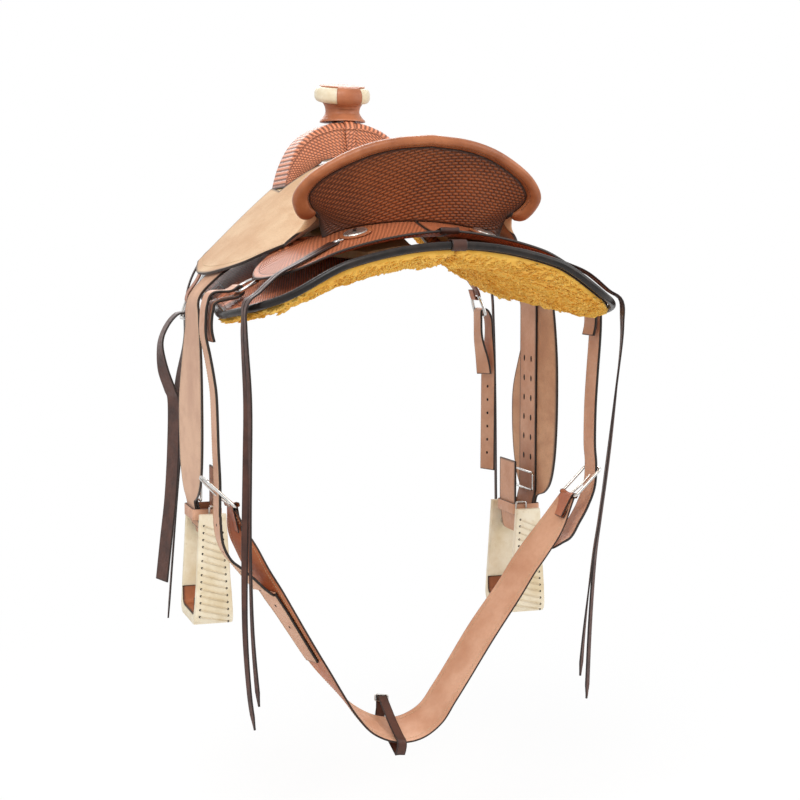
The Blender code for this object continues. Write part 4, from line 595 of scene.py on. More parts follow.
def steel(name, roughness=0.22):
    """Polished stainless steel, a little smeared."""
    f = Finish(name, roughness, metallic=1.0)
    smear = f.span(f.noise(60.0, 4.0), 0.3, 0.8)
    f.colour(f.blend(smear, srgb(214, 213, 210), srgb(178, 176, 172)))
    f.rough(f.span(smear, 0.0, 1.0, roughness - 0.05, roughness + 0.12))
    return f.made


def engraved(name):
    """Silver with a generic engraved scroll that shows as fine dark lines."""
    f = Finish(name, 0.36, metallic=1.0)
    rings = f.tree.nodes.new("ShaderNodeTexWave")
    rings.wave_type = "RINGS"
    rings.inputs["Scale"].default_value = 60.0
    rings.inputs["Distortion"].default_value = 9.0
    rings.inputs["Detail"].default_value = 2.0
    f.link(f.place, rings.inputs["Vector"])
    cut = f.span(rings.outputs["Fac"], 0.35, 0.60, 1.0, 0.0)
    f.colour(f.blend(f.math("MULTIPLY", cut, 0.55), srgb(236, 234, 228), srgb(140, 132, 120)))
    f.bump((cut, 0.3, 0.0004))
    return f.made


def thread(name, colour):
    """Dull waxed thread."""
    f = Finish(name, 0.7)
    f.colour(f.blend(f.noise(400.0), srgb(*colour), srgb(*(c * 0.8 for c in colour))))
    return f.made


SMOOTH = leather("russet_leather", (176, 108, 68), (142, 80, 46), 0.36, edge=srgb(96, 54, 34), mottle=20.0)
HORN_LEATHER = leather("horn_leather", (186, 118, 82), (156, 92, 60), 0.42, edge=srgb(130, 78, 52),
                       mottle=22.0)
STAMPED = stamped("basket_leather", (188, 110, 72), (156, 84, 50), pitch=0.0088)
CANTLE_STAMPED = stamped("cantle_leather", (150, 84, 46), (116, 60, 30), pitch=0.0118, turn=-14.0)
FORK_STAMPED = stamped("fork_leather", (190, 118, 84), (162, 92, 62), pitch=0.0105, turn=38.0, ribs=0.0088,
                       rib_reach=0.030)
SKIRT_STAMPED = stamped("skirt_leather", (192, 114, 78), (164, 90, 58), pitch=0.0090, turn=20.0)
SUEDE = roughout("seat_roughout", (226, 190, 148), (204, 156, 110))
FENDER_SUEDE = roughout("fender_roughout", (216, 166, 126), (186, 130, 92))
BILLET = leather("billet_leather", (212, 166, 138), (190, 138, 108), 0.52, edge=srgb(34, 26, 22))
OUTER_STRAP = leather("outer_strap_leather", (190, 116, 76), (164, 92, 56), 0.48, edge=srgb(34, 26, 22))
DARK = leather("string_leather", (84, 50, 38), (54, 30, 23), 0.42, edge=srgb(36, 22, 17), mottle=30.0)
# Painted shade that stands in for the dark inside of punched holes.
HOLE_SHADE = leather("painted_hole_shade", (26, 18, 14), (18, 12, 10), 0.8)
BLACK = leather("black_leather", (52, 40, 34), (36, 28, 24), 0.42)
TREAD = leather("tread_leather", (170, 104, 68), (132, 76, 46), 0.6)
RAWHIDE = rawhide("rawhide_cream")
TREE = leather("tree_rawhide", (206, 176, 128), (170, 134, 88), 0.55)
BINDING = bound("rolled_binding")
WOOL = wool("golden_wool")
STEEL = steel("stainless")
SILVER = engraved("engraved_silver")
THREAD = thread("pale_thread", (222, 196, 158))
DARK_THREAD = thread("brown_thread", (112, 70, 46))


# Numbers to shapes

def smooth(value):
    """Share from 0 to 1 that starts and ends level: t^2 (3 - 2 t)."""
    t = np.clip(value, 0.0, 1.0)
    return t * t * (3.0 - 2.0 * t)


def xyz(x, y, z):
    """Points from their three measures, each a number or an array, stretched to a common shape."""
    return np.stack(np.broadcast_arrays(x, y, z), axis=-1)


def unit(vectors):
    """The vectors at length one."""
    size = np.linalg.norm(vectors, axis=-1, keepdims=True)
    return vectors / np.maximum(size, 1e-12)


def lengths(points):
    """Distance run along a line of points, from its start."""
    steps = np.linalg.norm(np.diff(points, axis=0), axis=1)
    return np.concatenate([[0.0], np.cumsum(steps)])


def sample(places, run, rows):
    """Rows of numbers that stand at the distances run, read at other places on straight lines between."""
    return np.stack([np.interp(places, run, rows[:, k]) for k in range(rows.shape[1])], axis=1)


def even(points, count):
    """count + 1 points at equal distances along straight runs."""
    points = np.asarray(points, float)
    run = lengths(points)
    return sample(np.linspace(0.0, run[-1], count + 1), run, points)


def curve(knots, count):
    """count + 1 even points on the Catmull-Rom spline through the knots, its ends carried on straight."""
    knots = np.asarray(knots, float)
    padded = np.vstack([knots[0] * 2.0 - knots[1], knots, knots[-1] * 2.0 - knots[-2]])
    spans = len(knots) - 1
    u = np.linspace(0.0, spans, spans * 24 + 1)
    k = np.minimum(u.astype(int), spans - 1)
    t = (u - k)[:, None]
    before, a, b, after = padded[k], padded[k + 1], padded[k + 2], padded[k + 3]
    line = a + 0.5 * ((b - before) * t + (2 * before - 5 * a + 4 * b - after) * t ** 2
                      + (3 * a - before - 3 * b + after) * t ** 3)
    return even(line, count)


def loft(knots, count):
    """Grid of count + 1 rows on splines down the columns of the knots."""
    return curve(knots.reshape(len(knots), -1), count).reshape(count + 1, *knots.shape[1:])


def run_down(grid):
    """Distance run down each column of a grid, from its first row."""
    steps = np.linalg.norm(np.diff(grid, axis=0), axis=2)
    return np.concatenate([np.zeros((1, grid.shape[1])), np.cumsum(steps, axis=0)])


def along(y, rear, front):
    """A measure of the back at y, between its values at the rear and the front."""
    t = np.clip((y - BACK_REAR_Y) / (BACK_FRONT_Y - BACK_REAR_Y), 0.0, 1.0)
    return rear + (front - rear) * (0.5 * smooth(t) + 0.5 * t)


def back_height(x, y):
    """Height of the back: a hyperbola across whose slope and crown change along it, flared up behind."""
    slope = along(y, SLOPE_REAR, SLOPE_FRONT)
    crown = along(y, CROWN_REAR, CROWN_FRONT)
    top = along(y, EDGE_Z_REAR, EDGE_Z_FRONT) + np.hypot(slope * EDGE_X, crown)
    flare = smooth((FLARE_START_Y - y) / FLARE_RUN)
    fade = 1.0 - smooth((np.abs(x) - FLARE_HALF_WIDTH) / FLARE_FADE)
    return top - np.hypot(slope * x, crown) + FLARE_LIFT * flare * fade


def on_back(x, y, height):
    """Points above the back whose distance square to its cross slope is height."""
    x, y, height = (np.asarray(value, float) for value in (x, y, height))
    slope = along(y, SLOPE_REAR, SLOPE_FRONT)
    lean = -slope * slope * x / np.hypot(slope * x, along(y, CROWN_REAR, CROWN_FRONT))
    return xyz(x, y, back_height(x, y) + height * np.hypot(1.0, lean))


def lay_on(plan, height):
    """Points of a plan laid at height above the back."""
    return on_back(plan[..., 0], plan[..., 1], height)


def back_normal(x, y):
    """Unit normal of the back, from its slopes over 4 mm to either side."""
    x, y = np.asarray(x, float), np.asarray(y, float)
    step = 0.004
    rise_x = (back_height(x + step, y) - back_height(x - step, y)) / (2 * step)
    rise_y = (back_height(x, y + step) - back_height(x, y - step)) / (2 * step)
    return unit(xyz(-rise_x, -rise_y, 1.0))


def cinch_grid(count, shares=(0.0, 0.5, 1.0)):
    """Inner face of the cinch: rows along it, each straight from its rear edge to its front edge."""
    rear = xyz(CINCH[:, 0], CINCH_REAR_Y, CINCH[:, 1])
    rear_line, front_line = curve(rear, count), curve(rear + CINCH[:, 2:], count)
    share = np.array(shares)[None, :, None]
    return rear_line[:, None] * (1.0 - share) + front_line[:, None] * share


def to_side(points, side):
    """Points of the off half, or their mirror image on the near side."""
    return np.asarray(points, float) * np.array([side, 1.0, 1.0])[:np.asarray(points).shape[-1]]


def both_sides(half):
    """Row over the middle plane, from the near end to the off one, from its off half."""
    return np.vstack([to_side(half[1:], -1.0)[::-1], half])


def scatter(points, scale, seed):
    """Soft random field from 0 to 1: values on a grid of side 1 / scale, smoothly blended between."""
    p = np.asarray(points, float) * scale + seed * 17.31
    cell = np.floor(p)
    t = smooth(p - cell)
    total = np.zeros(p.shape[:-1])
    for corner in np.ndindex(2, 2, 2):
        key = (cell + corner) @ np.array([12.9898, 78.233, 37.719])
        value = np.modf(np.abs(np.sin(key) * 43758.5453))[0]
        weight = np.prod(np.where(np.array(corner) == 1, t, 1.0 - t), axis=-1)
        total += value * weight
    return total


def grid_faces(rows, columns, close_rows=False, close_columns=False):
    """Quads between neighbours of a grid of vertices, joined round where a way closes on itself."""
    i = np.arange(rows if close_rows else rows - 1)
    j = np.arange(columns if close_columns else columns - 1)
    i, j = [a.ravel() for a in np.meshgrid(i, j, indexing="ij")]
    down, over = (i + 1) % rows, (j + 1) % columns
    return np.stack([i * columns + j, i * columns + over, down * columns + over, down * columns + j],
                    axis=1)


def end_caps(rings, sides, start=0):
    """End faces of a tube of vertex rings that are numbered from start."""
    last = start + (rings - 1) * sides
    return [tuple(range(start, start + sides))[::-1], tuple(range(last, last + sides))]


def many_tubes(points):
    """Quads and end faces of small tubes, their vertices in order of tube, ring and place in the ring."""
    count, rings, sides = points.shape[:3]
    starts = np.arange(count) * rings * sides
    quads = (grid_faces(rings, sides, close_columns=True)[None] + starts[:, None, None]).reshape(-1, 4)
    return quads, [cap for start in starts.tolist() for cap in end_caps(rings, sides, start)]


def shell_faces(rows, columns, keep=None):
    """Quads of a grid, its upper copy and the wall between, and the grid's border vertices."""
    cells = grid_faces(rows, columns)
    if keep is not None:
        cells = cells[keep.ravel()]
    starts, ends = cells.ravel(), np.roll(cells, -1, axis=1).ravel()
    count = rows * columns
    border = ~np.isin(starts * count + ends, ends * count + starts)
    a, b = starts[border], ends[border]
    wall = np.stack([b, a, a + count, b + count], axis=1)
    return np.concatenate([cells, cells[:, ::-1] + count, wall]), np.unique(np.concatenate([a, b]))


def circles(first, second, sides):
    """Circle of vectors in the plane of each pair of rows, in order of pair and turn."""
    turn = np.linspace(0.0, 2.0 * math.pi, sides, endpoint=False)[:, None]
    return first[:, None] * np.cos(turn) + second[:, None] * np.sin(turn)


def volume_sign(points, quads):
    """1 where the quads face away from the inside, -1 where they face into it."""
    a, b, c, d = (points[quads[:, k]] for k in range(4))
    return np.sign(sum(np.einsum("ij,ij->i", a, np.cross(*pair)).sum() for pair in ((b, c), (c, d))))


def build(name, points, quads, caps, finish, body, nodes=(), slot=None, lay=None, fields=None, sharp=None):
    """Mesh object from vertex rows, quads and end caps, turned so that its faces point outwards."""
    points = np.asarray(points, float).reshape(-1, 3)
    if volume_sign(points - points.mean(axis=0), quads) < 0:
        quads = quads[:, ::-1]
        caps = [tuple(reversed(cap)) for cap in caps]
    mesh = bpy.data.meshes.new(name)
    mesh.from_pydata(points.tolist(), [], quads.tolist() + [list(cap) for cap in caps])
    for key, values in (fields or {}).items():
        store = mesh.attributes.new(key, "FLOAT", "POINT")
        store.data.foreach_set("value", np.asarray(values, np.float32).ravel())
    if lay is not None:
        corners = np.zeros(len(mesh.loops), dtype=np.int32)
        mesh.loops.foreach_get("vertex_index", corners)
        layer = mesh.uv_layers.new(name="lay")
        layer.data.foreach_set("uv", np.asarray(lay, np.float32).reshape(-1, 2)[corners].ravel())
    mesh.materials.append(finish)
    mesh.shade_smooth()
    if sharp:
        mesh.set_sharp_from_angle(angle=math.radians(sharp))
    made = bpy.data.objects.new(name, mesh)
    bpy.context.scene.collection.objects.link(made)
    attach(made, body)
    if nodes:
        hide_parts(*nodes)
    return made


def surface_normals(grid):
    """Unit normals of a grid of points, from the cross product of its two directions."""
    down = np.gradient(grid, axis=0)
    over = np.gradient(grid, axis=1)
    return unit(np.cross(over, down))


def sheet(name, grid, thickness, finish, body, nodes=(), slot=None, fields=None, keep=None,
          round_over=0.0009):
    """Leather of even thickness on a grid, closed round its border, with softened edges.

    The lower face is the grid, the upper one the grid moved along its normals.  Both carry a map of
    distances run along the rows and columns.  keep is a mask of the cells that stay.
    """
    rows, columns = grid.shape[:2]
    count = rows * columns
    upper = grid + surface_normals(grid) * thickness
    points = np.concatenate([grid.reshape(-1, 3), upper.reshape(-1, 3)])
    quads, border = shell_faces(rows, columns, keep)
    across = run_down(grid.transpose(1, 0, 2)).T
    middle = columns // 2
    lay = np.stack([across - across[:, middle:middle + 1], run_down(grid)], axis=-1).reshape(-1, 2)
    lay = np.concatenate([lay, lay])
    dark = np.zeros(count)
    dark[border] = 1.0
    own = {"edge": np.concatenate([dark, dark])}
    for key, values in (fields or {}).items():
        own[key] = np.concatenate([np.asarray(values, float).ravel()] * 2)
    used = np.unique(quads)
    remap = np.full(count * 2, -1)
    remap[used] = np.arange(len(used))
    made = build(name, points[used], remap[quads], [], finish, body, nodes, slot, lay[used],
                 {key: values[used] for key, values in own.items()}, sharp=45)
    bevel = made.modifiers.new("soft_edge", "BEVEL")
    bevel.width = round_over
    bevel.segments = 2
    bevel.limit_method = "ANGLE"
    bevel.angle_limit = math.radians(50)
    return made


def frames(path, facing, closed=False):
    """Direction, sideways and outward unit vectors at each point of a path."""
    if closed:
        run = unit(np.roll(path, -1, axis=0) - np.roll(path, 1, axis=0))
    else:
        run = unit(np.gradient(path, axis=0))
    across = unit(np.cross(run, facing))
    return run, across, np.cross(across, run)


def ribbon(name, path, facing, width, thickness, finish, body, nodes=(), slot=None, round_share=0.32,
           crown=0.0):
    """Strap carried along a path: a rounded rectangle whose inner face lies on the path.

    Two points turn each corner, two more end the dark margins of each face, and one in its middle lifts it
    by crown times the thickness.
    """
    path = np.asarray(path, float)
    count = len(path)
    facing = np.broadcast_to(np.asarray(facing, float), path.shape)
    width = np.broadcast_to(np.asarray(width, float), (count,))[:, None]
    _, across, out = frames(path, facing)
    r = thickness * round_share
    half = width * 0.5
    deep = crown * thickness
    margin = half - np.minimum(STRAP_MARGIN, half * 0.3)
    corners = [(-half + r, 0.0, 1), (-margin, 0.0, 0), (0.0, -deep, 0), (margin, 0.0, 0),
               (half - r, 0.0, 1), (half, r, 1), (half, thickness - r, 1), (half - r, thickness, 1),
               (margin, thickness, 0), (0.0, thickness + deep, 0), (-margin, thickness, 0),
               (-half + r, thickness, 1), (-half, thickness - r, 1), (-half, r, 1)]
    rings = np.stack([path + across * a + out * b for a, b, _ in corners], axis=1)
    sides = len(corners)
    quads = grid_faces(count, sides, close_columns=True)
    run = lengths(path)
    around = np.repeat(run[:, None], sides, axis=1)
    side_map = np.concatenate([a * np.ones((count, 1)) for a, _, _ in corners], axis=1)
    lay = np.stack([around, side_map], axis=-1)
    edge = np.tile(np.array([c[2] for c in corners], float), (count, 1))
    edge[0] = edge[-1] = 1.0
    fields = {"edge": edge, "border": half - np.abs(side_map), "around": around}
    return build(name, rings, quads, end_caps(count, sides), finish, body, nodes, slot, lay, fields,
                 sharp=60)


def tube(name, path, radius, facing, finish, body, nodes=(), slot=None, closed=False, sides=14):
    """Round bar along a path: a circle of the given radius at each of its points."""
    path = np.asarray(path, float)
    count = len(path)
    facing = np.broadcast_to(np.asarray(facing, float), path.shape)
    _, across, out = frames(path, facing, closed)
    radius = np.broadcast_to(np.asarray(radius, float), (count,))[:, None, None]
    turn = np.linspace(0.0, 2.0 * math.pi, sides, endpoint=False)[None, :, None]
    rings = path[:, None] + radius * circles(across, out, sides)
    quads = grid_faces(count, sides, closed, True)
    caps = [] if closed else end_caps(count, sides)
    run = lengths(path)
    lay = np.stack(np.broadcast_arrays(run[:, None], turn[..., 0] * radius[..., 0]), axis=-1)
    return build(name, rings, quads, caps, finish, body, nodes, slot, lay,
                 {"edge": np.zeros((count, sides))}, sharp=60)


def wire(name, corners, turn, radius, facing, body, nodes=(), sides=12):
    """Closed steel wire through corners that are rounded by turn."""
    tube(name, rounded_loop(corners, turn), radius, facing, STEEL, body, nodes, "stainless_steel",
         closed=True, sides=sides)


def spun(name, profile, place, axis, finish, body, nodes=(), slot=None, segments=64, change=None,
         swell=None):
    """Body turned about an axis from (radius, height) points whose first and last lie on the axis.

    swell gives the radius a share that changes round the turn, for scallops.
    """
    profile = np.asarray(profile, float)
    axis = unit(np.asarray(axis, float))
    first = unit(np.cross(axis, [0.0, 1.0, 0.0] if abs(axis[1]) < 0.9 else [1.0, 0.0, 0.0]))
    second = np.cross(axis, first)
    turn = np.linspace(0.0, 2.0 * math.pi, segments, endpoint=False)
    shape = np.ones(segments) if swell is None else swell(turn)
    body_rows = profile[1:-1]
    radius = body_rows[:, 0][:, None, None] * shape[None, :, None]
    rings = radius * circles(first[None], second[None], segments)
    rings = rings + axis * body_rows[:, 1][:, None, None]
    count = len(body_rows)
    poles = np.stack([axis * profile[0, 1], axis * profile[-1, 1]])
    points = np.concatenate([rings.reshape(-1, 3), poles]) + np.asarray(place, float)
    if change is not None:
        points = change(points)
    quads = grid_faces(count, segments, close_columns=True)
    last = (count - 1) * segments
    low, high = count * segments, count * segments + 1
    caps = [(k, (k + 1) % segments, low) for k in range(segments)]
    caps += [(last + (k + 1) % segments, last + k, high) for k in range(segments)]
    return build(name, points, quads, caps, finish, body, nodes, slot,
                 fields={"edge": np.zeros(len(points))}, sharp=50)


def stitches(name, path, facing, body, finish=None, pitch=0.0042, length=0.0030, radius=0.00042,
             lift=0.00025):
    """Row of sewn stitches: small arched capsules, one each pitch along the path."""
    path = np.asarray(path, float)
    run = lengths(path)
    count = max(2, int(run[-1] / pitch))
    places = (np.arange(count) + 0.5) * run[-1] / count
    facing = np.broadcast_to(np.asarray(facing, float), path.shape)
    centre, face = sample(places, run, path), sample(places, run, facing)
    way = unit(sample(places, run, np.gradient(path, axis=0)))
    across = unit(np.cross(way, face))
    out = np.cross(across, way)
    stations = np.array([-1.0, -0.7, 0.0, 0.7, 1.0])
    girth = np.array([0.35, 0.9, 1.0, 0.9, 0.35]) * radius
    arch = np.array([-0.6, 0.2, 0.6, 0.2, -0.6]) * radius + lift
    spine = centre[:, None] + way[:, None] * (stations * length * 0.5)[:, None]
    spine = spine + out[:, None] * arch[:, None]
    points = spine[:, :, None] + circles(across, out, 5)[:, None] * girth[:, None, None]
    build(name, points, *many_tubes(points), finish or THREAD, body)


def dots(name, places, normals, radius, body, slot, stretch=1.0, way=None):
    """Punched holes as discs of painted shade: twelve-sided prisms that stand 0.15 mm proud, stretched
    along way.
    """
    places = np.asarray(places, float)
    normals = unit(np.broadcast_to(np.asarray(normals, float), places.shape))
    first = unit(np.cross(normals, ALONG_X + ALONG_Y * 0.01)) if way is None else unit(way + 0.0 * normals)
    second = np.cross(normals, first)
    ring = circles(first * (stretch * radius), second * radius, 12)
    low, high = places - normals * 0.0006, places + normals * 0.00015
    points = np.stack([low[:, None] + ring, high[:, None] + ring], axis=1)
    build(name, points, *many_tubes(points), HOLE_SHADE, body, slot=slot)


# Skirts, wool and binding

def plan_inset(line, distance):
    """Line in plan moved to its left by distance."""
    run = unit(np.gradient(line, axis=0))
    return line + np.stack([-run[:, 1], run[:, 0]], axis=1) * distance


def coons(near, far, first, last):
    """Plan filled between four edge lines: near and far run along it, first and last join their ends."""
    u = np.linspace(0.0, 1.0, len(first))[:, None, None]
    v = np.linspace(0.0, 1.0, len(near))[None, :, None]
    corners = (near[0] * (1 - v) + near[-1] * v) * (1 - u) + (far[0] * (1 - v) + far[-1] * v) * u
    return near[None] * (1 - u) + far[None] * u + first[:, None] * (1 - v) + last[:, None] * v - corners


def skirt_plan(inset, inner_shift, rows, columns):
    """Plan of one skirt, rows from the ridge outwards and columns from the rear forwards."""
    rim = plan_inset(curve(SKIRT_RIM, 320), inset)
    rear = np.argmin(np.linalg.norm(rim - REAR_CORNER, axis=1))
    front = np.argmin(np.linalg.norm(rim - FRONT_CORNER, axis=1))
    inner = np.array(SKIRT_INNER) + [inner_shift, 0.0]
    inner[0, 1] = rim[0, 1]
    inner[-1, 1] = rim[-1, 1]
    first = even(np.vstack([inner[:1], rim[1:rear + 1]]), rows)
    last = even(np.vstack([rim[front:-1], inner[-1:]])[::-1], rows)
    return coons(curve(inner, columns), even(rim[rear:front + 1], columns), first, last)


def rim_distance(plan):
    """Distance of each grid point from the nearest of the plan's outer border lines."""
    border = np.concatenate([plan[:, 0], plan[-1], plan[::-1, -1]])
    gaps = np.linalg.norm(plan[:, :, None] - border[None, None, ::2], axis=-1)
    return gaps.min(axis=2), lengths(border)[::2][gaps.argmin(axis=2)]


def skirts():
    """Skirt leathers with stamped borders, their rolled bindings and the stitches beside these."""
    for name, side in SIDES:
        plan = to_side(skirt_plan(BINDING_R + LAYER_GAP, 0.0, 44, 88), side)
        grid = lay_on(plan, SKIRT_LOW)
        border, around = rim_distance(plan)
        thick = (SKIRT_TOP - SKIRT_LOW) * side
        sheet("skirt_leather_" + name, grid, thick, SKIRT_STAMPED, "saddle", ["skirt_" + name],
              "skirting_leather", {"border": border, "around": around, "shade": np.zeros(border.shape)})
        rim = to_side(curve(SKIRT_RIM, 300), side)
        centre = lay_on(rim, (SKIRT_LOW + SKIRT_TOP) * 0.5)
        wrinkle = BINDING_R * (1.0 + 0.025 * (scatter(centre, 90.0, 3) - 0.5))
        tube("rolled_binding_" + name, centre, wrinkle, back_normal(rim[:, 0], rim[:, 1]), BINDING,
             "saddle", ["skirt_binding_" + name], "black_binding", sides=18)
        line = to_side(plan_inset(curve(SKIRT_RIM, 300), BINDING_R + 0.0045), side)
        line = line[6:-6]
        stitches("binding_stitches_" + name, lay_on(line, SKIRT_TOP), back_normal(line[:, 0], line[:, 1]),
                 "saddle", DARK_THREAD, pitch=0.0050, length=0.0036)


def wool_lining():
    """Sheepskin: a cushioned sheet, lumpy below and thinner at its rim, with locks over its underside."""
    for name, side in SIDES:
        plan = skirt_plan(FLEECE_INSET - 0.004, 0.001, 70, 130)
        gap, _ = rim_distance(plan)
        inner_gap = np.abs(plan[..., 0] - plan[:1, :, 0])
        gap = np.minimum(gap, inner_gap + 0.006)
        rounding = 1.0 - smooth(gap / WOOL_RIM)
        plan = to_side(plan, side)
        flat = lay_on(plan, 0.0)
        lumps = sum(height * (scatter(flat, scale, seed) - 0.5) for height, scale, seed in WOOL_LUMPS)
        lower = lay_on(plan, rounding * WOOL_RIM_RISE + lumps)
        points = np.stack([lower, lay_on(plan, FLEECE_TOP)])
        quads, _ = shell_faces(*plan.shape[:2])
        tone = np.stack([scatter(lower, 120.0, 5) * 0.6, np.zeros(plan.shape[:2])])
        build("sheepskin_" + name, points, quads, [], WOOL, "saddle", ["fleece_" + name],
                        "fleece", fields={"tone": tone})
        wool_locks(name, side, lower)


def wool_locks(name, side, lower):
    """Locks: tapered curls that lean over the underside, each a three-sided spike of four rings."""
    rng = np.random.default_rng(7 if side > 0 else 8)
    count = LOCK_COUNT
    rows, columns = lower.shape[:2]
    r = rng.uniform(0.5, rows - 1.5, count)
    c = rng.uniform(0.5, columns - 1.5, count)
    edge_first = rng.random(count) < 0.22
    r = np.where(edge_first, rows - 1.2 - rng.random(count) * 2.0, r)
    i, j = r.astype(int), c.astype(int)
    root = lower[i, j] + (lower[i + 1, j] - lower[i, j]) * (r - i)[:, None]
    root = root + (lower[i, j + 1] - lower[i, j]) * (c - j)[:, None]
    down = surface_normals(lower)[i, j]
    down = down * -np.sign(down[:, 2:3])
    swirl = scatter(root, 9.0, 11) * 5.0 + rng.normal(0.0, 0.7, count)
    along_x = unit(np.cross(down, ALONG_Y))
    along_y = np.cross(along_x, down)
    lean = along_x * np.cos(swirl)[:, None] + along_y * np.sin(swirl)[:, None]
    reach = rng.uniform(*LOCK_REACH, count)[:, None]
    spine = root[:, None] + (lean * reach)[:, None] * LOCK_STATIONS[:, None]
    spine = spine + down[:, None] * LOCK_DROP[:, None]
    ring = circles(np.cross(down, lean), down, 3)
    points = spine[:, :, None] + ring[:, None] * LOCK_GIRTH[:, None, None]
    tone = np.repeat(rng.random(count) ** 1.5, 12)
    build("wool_locks_" + name, points, *many_tubes(points), WOOL, "saddle", slot="fleece",
          fields={"tone": tone})


# Cantle and seat

def cantle_outward(points):
    """Unit vectors across the middle plane's normal that point away from the foot of the cantle."""
    return unit(xyz(points[:, 0] * 0.8, 0.0, (points[:, 2] - CANTLE_CENTRE_Z) * 1.6))


def rim_line(count):
    """Top line of the cantle from wing to wing, and the roll's radius along it."""
    line = both_sides(curve(CANTLE_RIM, count))
    share = np.abs(np.linspace(-1.0, 1.0, len(line)))
    return line, ROLL_TOP_R + (ROLL_WING_R - ROLL_TOP_R) * share ** 2


def rim_inner(count, forward, wing_forward):
    """Line under the roll, moved forward by one measure in the middle and by another at the wings."""
    line, radii = rim_line(count)
    wing = np.linspace(-1.0, 1.0, len(line)) ** 2
    ahead = (forward + (wing_forward - forward) * wing)[:, None]
    return line - cantle_outward(line) * (radii * 2.0 + LAYER_GAP * 0.5)[:, None] + ahead * ALONG_Y


def seat_base_row(count):
    """Plan of the row where the seat starts to climb the cantle."""
    t = np.linspace(0.0, 1.0, count + 1)
    y = SEAT_BASE_Y + 0.014 * np.sin(math.pi * t) + (SEAT_EDGE[0][1] - SEAT_BASE_Y) * t
    return both_sides(np.stack([SEAT_EDGE[0][0] * t, y], axis=1))


def cantle_front_rows(count, rows):
    """Climb from seat to roll: a cubic Bezier at each column, steep at the top like the board behind it."""
    a = lay_on(seat_base_row(count), SEAT_LOW)
    d = rim_inner(count, CANTLE_HALF_THICK, ROLL_DEPTH_R + LAYER_GAP)
    reach = np.linalg.norm(d - a, axis=1)[:, None]
    b = a + reach * -0.42 * ALONG_Y + np.array([0.0, 0.0, 0.010])
    lean = cantle_outward(d) * 0.5 + np.array([0.0, 0.0, 0.5])
    c = d - lean * reach * 0.30 + reach * 0.19 * ALONG_Y
    t = np.linspace(0.0, 1.0, rows + 1)[:, None, None]
    return a * (1 - t) ** 3 + b * (3 * t * (1 - t) ** 2) + c * (3 * t * t * (1 - t)) + d * t ** 3


def cantle_rear_rows(count, rows, drop):
    """Dished face behind the cantle, rows from its foot to the roll."""
    dense = curve(CANTLE_BASE, 400)
    share = np.linspace(0.0, 1.0, count + 1)
    base = dense[np.round((1.0 - (1.0 - share) ** CANTLE_BASE_SPREAD) * 400).astype(int)]
    a = lay_on(both_sides(base) + [0.0, drop], JOCKEY_TOP + 0.0006)
    d = rim_inner(count, -CANTLE_HALF_THICK + drop, -CANTLE_HALF_THICK + drop)
    t = np.linspace(0.0, 1.0, rows + 1)[:, None, None]
    return a * (1 - t) + d * t + CANTLE_DISH * np.sin(math.pi * t) * ALONG_Y


def seat_rows(columns):
    """Rows of the seat from the cantle's foot to the fork, each from the near edge to the off one."""
    stations = np.linspace(0.0, 1.0, 61)
    share = np.arange(len(SEAT_ROWS) + 1) / len(SEAT_ROWS)
    y = np.interp(stations, share, [-0.085] + SEAT_ROWS)[:, None]
    edge = curve(SEAT_EDGE, 60)
    t = np.linspace(0.0, 1.0, columns + 1)[None]
    outer = np.clip((t - SEAT_SEAM_SHARE) / (1.0 - SEAT_SEAM_SHARE), 0.0, 1.0)
    inner = np.clip(t / SEAT_SEAM_SHARE, 0.0, 1.0)
    x = SEAT_SEAM_X * inner + (edge[:, :1] - SEAT_SEAM_X) * outer
    inner_y = np.minimum(y, SEAT_FRONT_Y)
    seam = smooth((t - SEAT_SEAM_SHARE + 0.05) / 0.05)
    across_y = inner_y + (y - inner_y) * seam + (edge[:, 1:2] - y) * outer
    start = seat_base_row(columns)[columns:]
    fade = smooth(stations / share[1])[:, None]
    x = start[None, :, 0] * (1 - fade) + x * fade
    across_y = start[None, :, 1] * (1 - fade) + across_y * fade
    x = np.concatenate([-x[:, :0:-1], x], axis=1)
    across_y = np.concatenate([across_y[:, :0:-1], across_y], axis=1)
    return on_back(x, across_y, SEAT_LOW)


def seat():
    """Seat leather with its side jockeys, from the cantle's roll to the fork, and its edge stitches."""
    columns = 66
    climb = cantle_front_rows(columns, 26)[::-1]
    flat = seat_rows(columns)
    grid = np.concatenate([climb, flat[1:]])
    rows = grid.shape[0]
    t = np.abs(np.linspace(-1.0, 1.0, columns * 2))
    share = np.arange(len(SEAT_ROWS) + 1) / len(SEAT_ROWS)
    open_row = len(climb) - 1 + int(round(share[1 + SEAT_ROWS.index(SEAT_FRONT_Y)] * 60))
    keep = ~((np.arange(rows - 1)[:, None] >= open_row) & (t[None] < SEAT_SEAM_SHARE))
    sheet("roughout_seat", grid, SEAT_THICK, SUEDE, "saddle", ["seat_leather"], "roughout_leather",
          keep=keep)
    normals = surface_normals(grid)
    for name, j in (("left", 3), ("right", grid.shape[1] - 4)):
        line = (grid + normals * SEAT_THICK)[len(climb) + 2:, j]
        stitches("jockey_stitches_" + name, line, normals[len(climb) + 2:, j], "saddle", pitch=0.0055,
                 length=0.0038)


